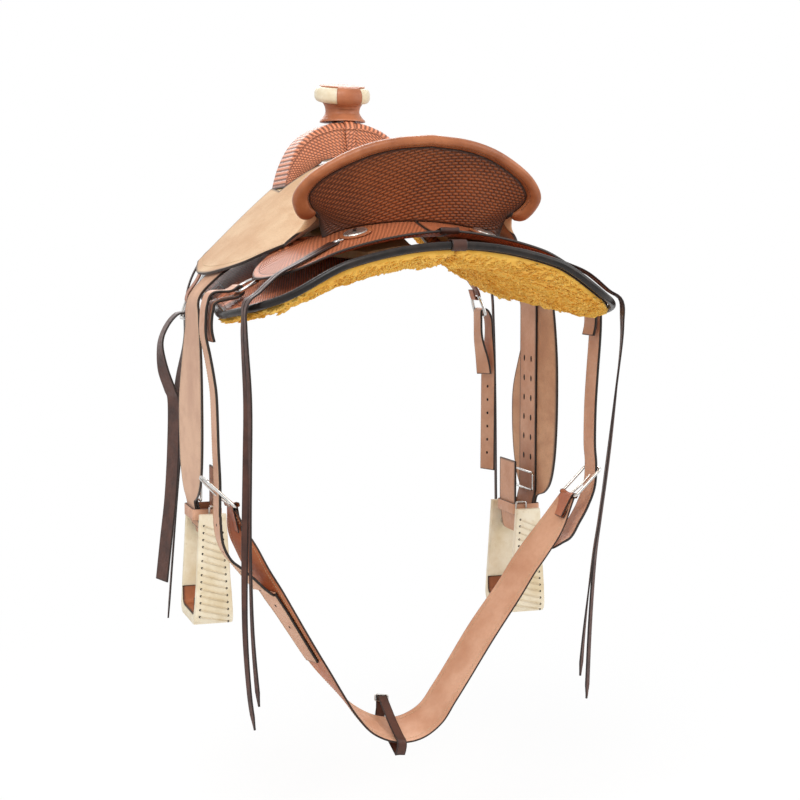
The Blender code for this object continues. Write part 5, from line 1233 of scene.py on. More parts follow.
def cantle():
    """Stamped leather behind the cantle, and the roll on its rim: a squared oval, closed at its ends."""
    columns = 66
    grid = cantle_rear_rows(columns, 26, CANTLE_BACK_THICK)
    across = np.abs(np.linspace(-1.0, 1.0, grid.shape[1]))[None]
    up = np.linspace(0.0, 1.0, grid.shape[0])[:, None]
    span = np.linalg.norm(grid[-1] - grid[0], axis=1)
    border = np.minimum((1.0 - up) * span, (1.0 - across) * 0.20) + 0.026
    # Painted shade on the cantle's back: darker towards its outer ends and just under the roll.
    shade = smooth((across - 0.72) / 0.28) * 0.8 + 0.35 * smooth((up - 0.75) / 0.25)
    around = np.broadcast_to(lengths(grid[-1])[None], border.shape)
    sheet("cantle_back_leather", grid, -CANTLE_BACK_THICK, CANTLE_STAMPED, "saddle", ["cantle_back"],
          "stamped_leather", {"border": border, "around": around, "shade": np.clip(shade, 0.0, 1.0)})
    line, radii = rim_line(110)
    out = cantle_outward(line)
    centre = line - out * radii[:, None]
    count = len(line)
    share = np.abs(np.linspace(-1.0, 1.0, count))
    ending = ((share - ROLL_END) / (1.0 - ROLL_END)).clip(0.0, 1.0)
    closing = np.sqrt(np.clip(1.0 - ending ** 2, 0.02, 1.0))
    turn = np.linspace(0.0, 2.0 * math.pi, ROLL_SIDES, endpoint=False)[None, :, None]
    rise, depth = (np.sign(way) * np.abs(way) ** ROLL_SQUARE for way in (np.cos(turn), np.sin(turn)))
    wobble = 1.0 + 0.02 * (scatter(centre, 30.0, 9) - 0.5)[:, None, None]
    rings = centre[:, None] + (out * (radii * closing)[:, None])[:, None] * rise * wobble
    rings = rings + ALONG_Y * (ROLL_DEPTH_R * closing)[:, None, None] * depth * wobble
    build("cantle_roll_leather", rings, grid_faces(count, ROLL_SIDES, close_columns=True),
          end_caps(count, ROLL_SIDES), SMOOTH, "saddle", ["cantle_roll"], "skirting_leather",
          fields={"edge": np.zeros((count, ROLL_SIDES))})
    low = centre - out * (radii * 0.72)[:, None] - ALONG_Y * (ROLL_DEPTH_R * 0.72)
    stitches("roll_stitches", low[8:-8], -out[8:-8] * 0.7 - ALONG_Y * 0.7, "saddle", DARK_THREAD,
             lift=0.0006)


# Fork and horn

def arch_line(outline):
    """Line over the middle plane, from the knots of its off half and the mirror image of the last."""
    half = curve(outline + [(-outline[-1][0], outline[-1][1])], 46)[:44]
    return np.vstack([half, half[::-1] * [-1.0, 1.0]])


def fork():
    """Fork cover: up the front face, round its edge, over the top and down the rear face."""
    outer, inner = arch_line(FORK_OUTLINE), arch_line(GULLET_OUTLINE)
    out = unit(outer - inner)
    tip = outer - out * FORK_COVER_THICK
    r = FORK_EDGE_R
    quarter = np.linspace(0.0, 1.0, 9)[1:, None, None] * (math.pi * 0.5)
    start = np.linspace(0.0, 1.0, 12)[:, None, None]
    corner = tip - out * r
    flank = inner * (1 - start) + corner * start
    bend = corner + out * r * np.sin(quarter)
    back = np.concatenate([np.zeros((12, 1, 1)), r * (1.0 - np.cos(quarter))])
    place = np.concatenate([flank, bend])
    lean = (place[..., 1:2] - FORK_OUTLINE[0][1]) * FORK_LEAN
    front = FORK_FRONT_Y - lean + LAYER_GAP - back
    rear = FORK_REAR_Y + lean - LAYER_GAP + back
    over = np.linspace(0.0, 1.0, 12)[1:-1, None, None]
    top_y = front[-1:] * (1 - over) + rear[-1:] * over
    top = np.broadcast_to(place[-1:], (10, *place.shape[1:]))
    points_y = np.concatenate([front, top_y, rear[::-1]])[..., 0]
    points = np.concatenate([place, top, place[::-1]])
    grid = xyz(points[..., 0], points_y, points[..., 1])
    step = run_down(grid)
    ridge = np.abs(step - step[-1:] * 0.5)
    border = np.abs(ridge - 0.020)
    around = np.broadcast_to(lengths(grid[len(grid) // 2])[None], border.shape)
    sheet("fork_leather", grid, -FORK_COVER_THICK, FORK_STAMPED, "saddle", ["fork_cover"],
          "stamped_leather", {"border": border, "around": around, "shade": np.zeros(border.shape)})


def horn_lean(points):
    """Points of the upright horn, tilted forwards more and more from its base to the top of its neck."""
    share = np.clip((points[..., 2] - HORN_BASE_Z) / (HORN_NECK_TOP - HORN_BASE_Z), 0.0, 1.0)
    lift = (points[..., 1] - HORN_Y) * HORN_TILT * smooth(share)
    return points + lift[..., None] * np.array([0.0, 0.0, 1.0])


def horn():
    """Leather neck, rawhide cap, the leather on the cap and the tab behind it."""
    foot = HORN_BASE_Z + 0.0002
    wrap = curve([(HORN_BASE_R, foot), (HORN_BASE_R - 0.001, foot + 0.0030),
                  (HORN_NECK_R + 0.005, foot + 0.0080), (HORN_NECK_R, HORN_BASE_Z + 0.0170),
                  (HORN_NECK_R + 0.0008, HORN_NECK_TOP - 0.008), (HORN_NECK_R + 0.005, HORN_NECK_TOP)], 30)
    wrap = np.vstack([[(0.0, foot)], wrap, [(0.0, HORN_NECK_TOP)]])
    place = (0.0, HORN_Y, 0.0)
    up = (0.0, 0.0, 1.0)
    spun("horn_neck_leather", wrap, place, up, HORN_LEATHER, "saddle", ["horn_wrap", "horn_post"],
         "skirting_leather", change=horn_lean)
    low = HORN_NECK_TOP + FIT_GAP
    rim = [(HORN_CAP_R - 0.016, low), (HORN_CAP_R - 0.006, low + 0.0018), (HORN_CAP_R - 0.001, low + 0.007),
           (HORN_CAP_R, low + 0.013), (HORN_CAP_R - 0.0008, HORN_CAP_TOP - 0.009),
           (HORN_CAP_R - 0.005, HORN_CAP_TOP - 0.003), (HORN_CAP_R - 0.014, HORN_CAP_TOP)]
    cap = np.vstack([[(0.0, low)], curve(rim, 34), [(0.0, HORN_CAP_TOP)]])
    spun("horn_cap_rawhide", cap, place, up, RAWHIDE, "saddle", ["horn_cap"], "rawhide", change=horn_lean,
         swell=lambda turn: 1.0 + 0.006 * np.cos(turn * 3.0 + 0.6))
    tab = curve(rim[:0:-1] + [(HORN_NECK_R + 0.004, low - 0.002), (HORN_NECK_R + 0.0014, low - 0.009)], 40)
    top = [(HORN_CAP_R, -0.001), (0.010, -0.001), (0.0094, 0.0004), (0.0105, 0.0014), (0.020, 0.0018),
           (HORN_CAP_R, 0.0018)]
    profile = [(HORN_CAP_R - inwards, HORN_CAP_TOP + rise) for inwards, rise in top]
    spun("horn_top_leather", profile, place, up, HORN_LEATHER, "saddle", slot="skirting_leather",
         change=horn_lean)
    span = np.linspace(-HORN_TAB_HALF_TURN, HORN_TAB_HALF_TURN, 30)
    grid = xyz(tab[:, :1] * np.sin(span), HORN_Y - tab[:, :1] * np.cos(span), tab[:, 1:])
    sheet("horn_back_tab", horn_lean(grid), -0.0022, HORN_LEATHER, "saddle", slot="skirting_leather",
          round_over=0.0006)


# Jockeys, conchos and ties behind the cantle

def rear_jockeys():
    """Stamped leathers behind the cantle, with their borders marked along their outer edges."""
    for name, side in SIDES:
        near, far = curve(JOCKEY_INNER, 64), curve(JOCKEY_REAR, 64)
        plan = coons(near, far, even([near[0], far[0]], 34), even([near[-1], far[-1]], 34))
        u = np.linspace(0.0, 1.0, 35)[:, None]
        v = np.linspace(0.0, 1.0, 65)[None]
        gap = np.linalg.norm(plan - plan[-1:], axis=2)
        end_gap = np.linalg.norm(plan - plan[:, -1:], axis=2)
        around = np.where(end_gap < gap, lengths(plan[:, -1])[:, None], lengths(plan[-1])[None])
        border = np.minimum(gap + 0.010, end_gap * 0.5)
        plan = to_side(plan, side)
        grid = lay_on(plan, JOCKEY_LOW - JOCKEY_DROP * u * v)
        sheet("rear_jockey_leather_" + name, grid, JOCKEY_THICK * -side, STAMPED, "saddle",
              ["rear_jockey_" + name], "stamped_leather", {"border": border, "around": around,
                                                           "shade": np.zeros(gap.shape)})


def fold_strap(name, line, width, nodes):
    """Short strap across the ridge along (y, height) points."""
    line = curve(line, 40)
    path = on_back(0.0 * line[:, 0], line[:, 0], line[:, 1])
    run = np.gradient(path, axis=0)
    facing = xyz(0.0, run[:, 2], -run[:, 1])
    ribbon(name, path, facing, width, FOLD_THICK, DARK, "saddle", nodes, "dark_string_leather")


def connectors():
    """Small straps that fold round the rear edges of the jockeys and the skirts where the halves meet."""
    edge = JOCKEY_REAR[0][1]
    over, under = JOCKEY_TOP + LAYER_GAP, JOCKEY_LOW - LAYER_GAP
    fold_strap("jockey_tie_strap", [(edge + 0.030, over), (edge + 0.002, over),
                                    (edge - 0.0018, over - 0.0015), (edge - 0.0018, under + 0.0015),
                                    (edge + 0.002, under)], 0.030, ["jockey_connector"])
    middle = (SKIRT_LOW + SKIRT_TOP) * 0.5
    reach = BINDING_R + 0.0006
    fold_strap("skirt_tie_strap", [(SKIRT_REAR_Y + 0.028, SKIRT_TOP + 0.0014),
                                   (SKIRT_REAR_Y + 0.006, middle + reach), (SKIRT_REAR_Y, middle + reach),
                                   (SKIRT_REAR_Y - reach * 0.75, middle + reach * 0.72),
                                   (SKIRT_REAR_Y - reach, middle),
                                   (SKIRT_REAR_Y - reach * 0.75, middle - reach * 0.72),
                                   (SKIRT_REAR_Y, middle - reach)], 0.024, ["skirt_connector"])


def concho(name, place, normal, body, node, rosette_r, silver_r, finish):
    """Scalloped leather rosette with a domed silver button."""
    spun(name + "_rosette", [(0.0, -0.0002), (rosette_r * 0.98, -0.0002), (rosette_r, 0.0008),
                             (rosette_r * 0.98, 0.0019), (rosette_r * 0.8, 0.0022), (0.0, 0.0022)], place,
         normal, finish, body, slot="dark_string_leather", segments=96,
         swell=lambda turn: 1.0 - 0.055 * np.abs(np.sin(turn * 9.0)))
    dome = np.linspace(0.0, math.pi / 2, 12)
    profile = [(0.0, 0.0018), (silver_r, 0.0018), (silver_r * 1.02, 0.0028)]
    profile += [(silver_r * math.cos(t), 0.0030 + 0.0044 * math.sin(t)) for t in dome]
    spun(name + "_silver", profile, place, normal, SILVER, body, [node], "stainless_steel",
         segments=72, swell=lambda turn: 1.0 + 0.012 * np.cos(turn * 18.0))


def conchos():
    """Rear and front conchos of both sides, the thong through each rear one and the small dee beside it."""
    for name, side in SIDES:
        x, y = CONCHO
        normal = back_normal(x * side, y)
        place = on_back(x * side, y, JOCKEY_TOP + 0.0009)
        concho("rear_concho_" + name, place, normal, "saddle", "rear_concho_" + name, ROSETTE_R, CONCHO_R,
               SMOOTH)
        slot_strap = place + normal * 0.0070
        way = unit(np.cross(normal, ALONG_Y)) * side
        line = np.stack([slot_strap - way * 0.004 - ALONG_Y * 0.010, slot_strap + normal * 0.0006,
                         slot_strap + way * 0.004 + ALONG_Y * 0.010])
        ribbon("rear_concho_thong_" + name, curve(line, 14), normal, 0.0055, 0.0016, DARK, "saddle",
               slot="dark_string_leather")
        x, y = FRONT_CONCHO
        normal = back_normal(x * side, y)
        place = on_back(x * side, y, SKIRT_TOP + FRONT_STACK)
        concho("front_concho_" + name, place, normal, "saddle", "front_concho_" + name, FRONT_ROSETTE_R,
               FRONT_CONCHO_R, SMOOTH)
        stem = np.stack([place - normal * (FRONT_STACK - 0.001), place])
        tube("front_concho_stack_" + name, curve(stem, 6), 0.012, ALONG_Y, BLACK, "saddle",
             slot="dark_string_leather")
        x, y = TIE_DEE
        base = on_back(x * side, y, JOCKEY_TOP + TIE_DEE_WIRE_R)
        normal = back_normal(x * side, y)
        way = unit(np.cross(normal, ALONG_Y)) * side
        ring = np.array(CORNERS) * TIE_DEE_HALF
        loop = base + way * ring[:, :1] + ALONG_Y * ring[:, 1:]
        wire("tie_dee_" + name, loop, 0.003, TIE_DEE_WIRE_R, normal, "saddle", sides=10)


def rounded_loop(corners, radius, steps=6):
    """Closed line through corners, each turned on an arc: a quadratic curve between points radius away."""
    corners = np.asarray(corners, float)
    before, after = np.roll(corners, 1, axis=0), np.roll(corners, -1, axis=0)
    a = corners + unit(before - corners) * radius
    b = corners + unit(after - corners) * radius
    t = np.linspace(0.0, 1.0, steps)[None, :, None]
    arcs = a[:, None] * (1 - t) ** 2 + corners[:, None] * 2 * t * (1 - t) + b[:, None] * t ** 2
    return arcs.reshape(-1, 3)


def hang_thong(name, line, facing, width, nodes):
    """Limp flat thong with a tip that is cut to a slant."""
    widths = np.full(len(line), width)
    widths[-5:] = np.linspace(width, THONG_TIP, 5)
    made = ribbon(name, line, facing, widths, THONG_THICK, DARK, "saddle", nodes, "dark_string_leather")


def strings():
    """Long ties: flat thongs along smooth paths, their faces turning slowly, with slant-cut tips."""
    for name, side in SIDES:
        rear_ties(name, side)
        hang_x = 0.278 if side < 0 else 0.334
        tip = 0.316 if side < 0 else 0.346
        knots = np.vstack([on_back(0.188, 0.289, SKIRT_TOP + 0.0152),
                           on_back(0.222, 0.322, SKIRT_TOP + 0.0150), (hang_x - 0.030, 0.352, 0.010),
                           (hang_x - 0.006, 0.361, -0.045), (hang_x, 0.362, -0.120),
                           (hang_x + 0.004, 0.362, -0.260), (hang_x + (tip - hang_x) * 0.6, 0.362, -0.480),
                           (tip, 0.362, -0.660)])
        line = curve(knots, 110)
        fall = smooth(np.linspace(0.0, 4.0, len(line)))[:, None]
        face = back_normal(0.25, 0.3) * (1.0 - fall) + np.array([1.0, 0.0, 0.1]) * fall
        hang_thong("front_tie_" + name, to_side(line, side), to_side(face, side), STRING_WIDTH,
                   ["front_string_" + name])


def rear_ties(name, side):
    """Both tails of the thong from the rear concho, over the skirt's edge and down."""
    over = np.array([(0.146, -0.194), (0.188, -0.222), (0.222, -0.246)])
    start = np.vstack([on_back(over[:, 0], over[:, 1], JOCKEY_TOP + 0.0006),
                       on_back(0.252, -0.258, JOCKEY_TOP - 0.001),
                       on_back(0.284, -0.2655, SKIRT_TOP + 0.014)])
    fall = [(0.3030, -0.052), (0.3055, -0.085), (0.3045, -0.120)]
    if side < 0:
        fall += [(0.3010, -0.200), (0.3020, -0.300), (0.3040, -0.420), (0.3030, -0.540), (0.2960, -0.640),
                 (0.2880, -0.697)]
    else:
        fall += [(0.2980, -0.180), (0.2850, -0.290), (0.2700, -0.400), (0.2600, -0.470), (0.2500, -0.580),
                 (0.2430, -0.694)]
    turn = [(0.87, -0.50), (0.84, -0.54), (0.70, -0.71), (0.50, -0.86)]
    turn = turn[:1] * len(fall) if side < 0 else turn + [(0.35, -0.93)] * (len(fall) - len(turn))
    knots = np.vstack([start, [(x, -0.2725, z) for x, z in fall]])
    facing = np.vstack([back_normal(start[:, 0], start[:, 1]), [(x, y, 0.15) for x, y in turn]])
    count = 150
    line, face = curve(knots, count), curve(facing, count)
    _, across, _ = frames(line, face)
    drift = np.linspace(0.0, 1.0, count + 1)[:, None]
    for tail, spread, cut in (("front", 0.0066, 7), ("rear", -0.0066, 0)):
        sway = 0.0022 * np.sin(drift * 7.0 + spread * 300.0) * drift
        path = (line + across * (spread * (1.0 + 0.12 * drift) + sway))[:count + 1 - cut]
        twist = 0.35 * np.sin(drift * 5.0 + spread * 150.0) * smooth((drift - 0.30) / 0.3)
        turned = (face * np.cos(twist) + across * np.sin(twist))[:len(path)]
        nodes = ["rear_string_" + name] if tail == "front" else []
        hang_thong("rear_tie_" + tail + "_" + name, to_side(path, side), to_side(turned, side), THONG_WIDTH,
                   nodes)


# Rigging, flank set and latigo

def dee_line(bar, width, rise, upward):
    """Corners of a dee: its straight bar, and sides that close in to the width of the strap at its top."""
    half, flat = width * 0.5, RIG_STRAP_WIDTH * 0.5 + 0.002
    shape = [(-half, 0.0), (half, 0.0), (half, 0.35), (half - 0.002, 0.68), (half - 0.006, 0.90),
             (flat, 1.0)]
    shape = np.array(shape + [(-y, t) for y, t in reversed(shape[2:])])
    return bar + upward * (rise * shape[:, 1:]) + ALONG_Y * shape[:, :1]


def outer_way(path, side):
    """Vectors square to a path in an upright plane across the saddle, away from the horse."""
    run = np.gradient(path, axis=0)
    return xyz(-run[:, 2], 0.0, run[:, 0]) * side


def planar_strap(name, line, side, thickness, finish, body, nodes, slot, count):
    """Strap on a front ring along (x, z) points of the off half, turned about the upright below it."""
    line = curve(line, count)
    path = xyz(line[:, 0] * side, FRONT_RIG_Y, line[:, 1])
    facing = hung_twist(outer_way(path, side), path[:, 2])
    ribbon(name, path, facing, FRONT_STRAP_WIDTH, thickness, finish, body, nodes, slot)


def hung_twist(facing, heights):
    """Facing turned about the upright axis, from nothing at the ring to STRAP_TWIST below it."""
    angle = STRAP_TWIST * smooth((TWIST_TOP_Z - heights) / TWIST_FALL)
    return xyz(facing[:, 0] * np.cos(angle), facing[:, 0] * np.sin(angle), facing[:, 2])


def rear_frame(side):
    """Middle of the rear dee's bar, the way up the skirt from it and the way out from the skirt."""
    bar = on_back(REAR_BAR_X * side, FLANK_Y, SKIRT_TOP + FLANK_PLAY + FLANK_THICK + FLANK_LOOP + LAYER_GAP)
    normal = unit(back_normal(REAR_BAR_X * side, FLANK_Y) * [1.0, 0.0, 1.0])
    return bar, np.array([-abs(normal[2]) * side, 0.0, abs(normal[0])]), normal


def rear_rigging():
    """Rear rings and the straps that hold them to the skirts."""
    for name, side in SIDES:
        bar, straight, normal = rear_frame(side)
        upward = unit(straight - normal * REAR_DEE_SINK)
        wire("rear_ring_" + name, dee_line(bar, REAR_DEE_WIDTH, REAR_DEE_RISE, upward), DEE_TURN,
             DEE_WIRE_R, normal, "saddle", ["rear_dee_" + name], 14)
        top = bar + upward * REAR_DEE_RISE
        clear = DEE_WIRE_R + FIT_GAP
        loop = np.array([(0.010, -clear), (-clear * 0.5, -clear), (-clear, -clear * 0.5),
                         (-clear, clear * 0.5), (-clear * 0.5, clear), (0.014, clear)])
        start = on_back(np.array([0.176, 0.215]) * side, FLANK_Y, SKIRT_TOP + 0.0056)
        knots = np.vstack([start, top + upward * loop[:, :1] + normal * loop[:, 1:]])
        path = curve(knots, 60)
        run = np.gradient(path, axis=0)
        out = np.cross(run, ALONG_Y) * side
        ribbon("rear_ring_strap_" + name, path, out, RIG_STRAP_WIDTH, RIG_STRAP_THICK, DARK, "saddle",
               ["rear_rig_strap_" + name], "skirting_leather")


def flank_set():
    """Billets with their stitches and holes, the buckles and the cinch, which swing together.

    A billet's path starts under its dee, and its stitches start past the loop, at the row called seen.
    """
    for name, side in SIDES:
        path, facing = billet_path(name, side)
        ribbon("flank_billet_leather_" + name, path, facing, FLANK_WIDTH, FLANK_THICK, BILLET, "flank",
               ["flank_billet_" + name], "billet_leather")
        _, across, out = frames(path, facing)
        seen = 95
        for edge_name, share in (("front", 0.42), ("rear", -0.42)):
            line = path + across * (FLANK_WIDTH * share) + out * FLANK_THICK
            stitches("flank_billet_stitches_" + edge_name + "_" + name, line[seen:], out[seen:], "flank",
                     pitch=FLANK_STITCH)
        holes = np.arange(len(path) - 120, len(path) - 12, 18)
        dots("flank_billet_holes_" + name, path[holes] + out[holes] * FLANK_THICK, out[holes], 0.0024,
             "flank", "billet_leather")
        flank_buckle(name, side)
    cinch()


def billet_path(name, side):
    """Line of a billet's inner face and the way it faces: in the dee's plane, then square to the cinch."""
    bar, straight, normal = rear_frame(1.0)
    run = -straight
    wall, bend = FLANK_LOOP, FLANK_LOOP - 0.0012
    turn = np.array([(0.008, -wall), (-bend, -wall), (-wall, -bend), (-wall, bend), (-bend, wall),
                     (0.012, wall)])
    loop = (bar + run * turn[:, :1] + normal * turn[:, 1:])[:, [0, 2]]
    under = [(FLANK_EDGE_X - 0.0040, -0.116), (FLANK_EDGE_X - 0.0005, -0.100), (FLANK_EDGE_X, -0.084),
             (FLANK_EDGE_X - 0.0025, -0.066), (FLANK_EDGE_X - 0.0090, -0.052)]
    swell = FLANK_EDGE_X + FLANK_THICK + 0.0008
    over = [(swell - 0.0110, -0.041), (swell - 0.0025, -0.058), (swell, -0.080), (swell, -0.105)]
    flat = np.vstack([under, loop, over, BILLET_FALL[name]])
    flat = xyz(flat[:, 0] * side, FLANK_Y, flat[:, 1])
    rows = cinch_grid(84)
    middle, away = rows[:, 1], surface_normals(rows)[:, 1]
    start, tip = BILLET_TAIL[name]
    chosen = np.flatnonzero((middle[:, 0] * side < start) & (middle[:, 0] * side > tip))[::-int(side)]
    rise = CINCH_THICK + TAIL_GAP + TAIL_RISE * (1.0 - smooth(np.arange(len(chosen)) / 4.0))
    tail = middle[chosen] + away[chosen] * rise[:, None]
    line = curve(np.vstack([flat, tail]), 340)
    facing = unit(outer_way(line, side))
    gap = np.linalg.norm(line[:, None] - middle[None], axis=2)
    share = smooth(1.0 - (gap.min(axis=1) - 0.008) / 0.026)[:, None] * (np.arange(len(line)) > 170)[:, None]
    return line, facing * (1.0 - share) + away[gap.argmin(axis=1)] * share


def flank_buckle(name, side):
    """Rounded wire frame, and a tongue from its lower bar that rests outside its upper bar."""
    low, top = [np.array([x * side, FLANK_Y, z]) for x, z in BUCKLE_BARS[name]]
    half = FLANK_WIDTH * 0.5 + 0.006
    wide = ALONG_Y * half
    square = unit(np.cross(top - low, ALONG_Y)) * side
    wire("flank_buckle_frame_" + name, [low - wide, top - wide, top + wide, low + wide], 0.010,
         BUCKLE_WIRE_R, square, "flank", ["flank_buckle_" + name], 14)
    out = square * (1.0 if square[0] * side > 0 else -1.0)
    tongue = curve([low + out * 0.0020, low * 0.5 + top * 0.5 + out * 0.0052, top + out * 0.0044,
                    top * 1.08 - low * 0.08 + out * 0.0036], 18)
    tube("flank_buckle_tongue_" + name, tongue, np.linspace(0.0021, 0.0015, 19), ALONG_Y, STEEL, "flank",
         slot="stainless_steel", sides=10)
    knuckle = np.stack([low - ALONG_Y * 0.0035, low + ALONG_Y * 0.0035])
    tube("flank_buckle_knuckle_" + name, knuckle, BUCKLE_WIRE_R + 0.0013, square, STEEL, "flank",
         slot="stainless_steel", sides=12)


def cinch():
    """Two leathers sewn together, the flesh-pink one inside, and folds that hold the frames' lower bars."""
    shares = (0.0, 0.02, 0.05, 0.12, 0.25, 0.4, 0.5, 0.6, 0.75, 0.88, 0.95, 0.98, 1.0)
    grid = cinch_grid(260, shares)
    normals = surface_normals(grid)
    sheet("flank_cinch_inner", grid, CINCH_THICK * 0.5, BILLET, "flank", ["flank_cinch"], "billet_leather")
    outer = grid + normals * (CINCH_THICK * 0.5 + 0.0001)
    sheet("flank_cinch_outer", outer, CINCH_THICK * 0.5, OUTER_STRAP, "flank", slot="billet_leather")
    middle = shares.index(0.5)
    for edge_name, share in (("rear", 0.12), ("front", 0.88)):
        j = shares.index(share)
        stitches("cinch_stitches_in_" + edge_name, grid[3:-3, j], -normals[3:-3, j], "flank",
                 pitch=FLANK_STITCH)
        line = grid[3:-3, j] + normals[3:-3, j] * (CINCH_THICK + 0.0001)
        stitches("cinch_stitches_out_" + edge_name, line, normals[3:-3, j], "flank", pitch=FLANK_STITCH)
    for end_name, k, way in (("left", 0, 1), ("right", len(grid) - 1, -1)):
        side = -1.0 if end_name == "left" else 1.0
        x, z = BUCKLE_BARS[end_name][0]
        bar = np.array([x * side, FLANK_Y, z])
        start, out = grid[k + way * 10, middle], normals[k + way * 10, middle]
        run = unit(bar - start)
        back = np.linspace(0.0, math.pi, 9)[:, None]
        ring = bar + run * np.sin(back) * 0.0030 - out * np.cos(back) * 0.0030
        path = np.vstack([start - out * 0.0001, bar - out * 0.0032 - run * 0.006, ring,
                          bar + out * 0.0034 - run * 0.006, start + out * (CINCH_THICK + 0.0005)])
        path = curve(path, 60)
        step = np.gradient(path, axis=0)
        facing = np.cross(step, ALONG_Y)
        facing = facing * np.sign((facing[30:31] * run).sum())
        ribbon("flank_cinch_fold_" + end_name, path, facing, FLANK_WIDTH, 0.0016, OUTER_STRAP, "flank",
               slot="billet_leather")
    k = int(np.argmin(np.abs(grid[:, middle, 0] - CONNECTOR_X)))
    width = np.linalg.norm(grid[k, -1] - grid[k, 0])
    across = (grid[k, -1] - grid[k, 0]) / width
    run = unit(grid[k + 1, middle] - grid[k - 1, middle])
    out = unit(np.cross(across, run))
    hobble(grid[k, middle] + out * (CINCH_THICK * 0.5), across, run, out, width * 0.5 + 0.0006)


def hobble(centre, across, run, out, half):
    """Small strap buckled round the cinch: up in front, across the inner face and folded below."""
    deep = CINCH_THICK * 0.5 + 0.0014
    sweeps = (("cinch_hobble_strap", -1.0, ["cinch_connector"],
               [(-half - 0.004, deep + 0.016), (-half - 0.0045, deep + 0.006),
                (-half - 0.001, -deep + 0.001), (-half * 0.55, -deep - 0.004), (half * 0.2, -deep - 0.013),
                (half + 0.012, -deep - CONNECTOR_STAND)]),
              ("cinch_hobble_under", 1.0, [],
               [(-half - 0.004, deep + 0.016), (half * 0.1, deep + 0.006), (half, deep + 0.001),
                (half + 0.007, -deep - 0.012), (half + 0.015, -deep - CONNECTOR_STAND)]))
    for name, way, nodes, knots in sweeps:
        line = curve(knots, 40)
        shift = np.linspace(0.004, -0.006, len(line))[:, None]
        path = centre + across * line[:, :1] + out * line[:, 1:] + run * shift
        facing = np.cross(np.gradient(path, axis=0), run)
        facing = facing * np.sign((facing @ out).mean()) * way
        ribbon(name, path, facing, CONNECTOR_WIDTH, 0.0025, DARK, "flank", nodes, "dark_string_leather")
    top = centre + across * (half + 0.011) - out * (deep + CONNECTOR_STAND - 0.004) - run * 0.006
    way = unit(across * 0.6 - out)
    corners = [top + run * (0.0115 * a) + way * (0.001 + 0.005 * b) for a, b in CORNERS]
    wire("cinch_hobble_buckle", corners, 0.002, 0.0014, np.cross(run, way), "flank", sides=10)


def front_rigging():
    """Front rings and the straps that hold them, the near side's latigo and the off side's billet."""
    for name, side in SIDES:
        bar = np.array([FRONT_BAR_X * side, FRONT_RIG_Y, FRONT_BAR_Z])
        sine, cosine = FRONT_DEE_LEAN
        upward, normal = np.array([-sine * side, 0.0, cosine]), np.array([cosine * side, 0.0, sine])
        wire("front_ring_" + name, dee_line(bar, FRONT_STRAP_WIDTH + 0.014, FRONT_DEE_RISE, upward),
             DEE_TURN, DEE_WIRE_R, normal, "saddle", ["front_dee_" + name], 14)
        top = bar + upward * FRONT_DEE_RISE
        clear = DEE_WIRE_R + FIT_GAP
        loop = np.array([(0.012, clear), (-clear * 0.5, clear), (-clear, clear * 0.5),
                         (-clear, -clear * 0.5), (-clear * 0.5, -clear), (0.016, -clear)])
        heights = SKIRT_TOP + np.array([0.0006, 0.0006, 0.0012, 0.0090])
        start = on_back(np.array([0.168, 0.186, 0.205, 0.229]) * side, FRONT_RIG_Y, heights)
        knots = np.vstack([start, (0.2490 * side, FRONT_RIG_Y, 0.0020),
                           (0.2630 * side, FRONT_RIG_Y, -0.0260),
                           top + upward * loop[:, :1] + normal * loop[:, 1:]])
        path = curve(knots, 90)
        ribbon("front_ring_strap_" + name, path, outer_way(path, side), RIG_STRAP_WIDTH, RIG_STRAP_THICK,
               SMOOTH, "saddle", ["front_rig_strap_" + name], "skirting_leather")
    wall = FRONT_BAR_X - DEE_WIRE_R - FIT_GAP
    top = FRONT_BAR_Z + FRONT_LOOP
    turn = [(wall, FRONT_BAR_Z - FRONT_LOOP), (wall, top - 0.0015), (wall + 0.0015, top),
            (FRONT_BAR_X + 0.004, top)]
    under = [(0.3035, -0.248), (0.2975, -0.215), (0.2900, -0.165), (0.2868, -0.125)]
    over = [(0.3035, -0.0900), (0.3170, -0.105), (0.3285, -0.128), (0.3315, -0.152), (0.3265, -0.190),
            (0.3150, -0.225), (0.3085, -0.250), (0.3105, -0.335), (0.3165, -0.425), (0.3255, -0.500),
            (0.3345, -0.578)]
    planar_strap("latigo_leather", under + turn + over, -1.0, LATIGO_THICK, DARK, "latigo", ["latigo"],
                 "dark_string_leather", 200)
    under = [(0.2995, -0.210), (0.2955, -0.180), (0.2880, -0.140)]
    over = [(0.3000, -0.0935), (0.3050, -0.110), (0.3062, -0.150), (0.3055, -0.205), (0.3050, -0.300),
            (0.3045, -0.398)]
    planar_strap("off_billet_leather", under + turn + over, 1.0, OFF_BILLET_THICK, BILLET, "off_billet",
                 ["off_billet"], "billet_leather", 160)
    heights = -0.235 - 0.026 * np.arange(6)
    turned = np.array([math.cos(STRAP_TWIST), math.sin(STRAP_TWIST), 0.0])
    places = xyz(np.interp(-heights, (0.205, 0.300, 0.398), (0.3055, 0.3050, 0.3045)), FRONT_RIG_Y, heights)
    for face, shift, way in (("in", 0.0, -1.0), ("out", OFF_BILLET_THICK, 1.0)):
        dots("off_billet_holes_" + face, places + turned * shift, turned * way, 0.0028, "off_billet",
             "billet_leather")


# Stirrup leathers, fenders and stirrups

def lowered(points, drop):
    """(x, z) points whose part below the fender's bend hangs lower by drop."""
    points = np.array(points, float)
    points[:, 1] -= drop * smooth((HOBBLE_TOP_Z + 0.10 - points[:, 1]) / 0.08)
    return points


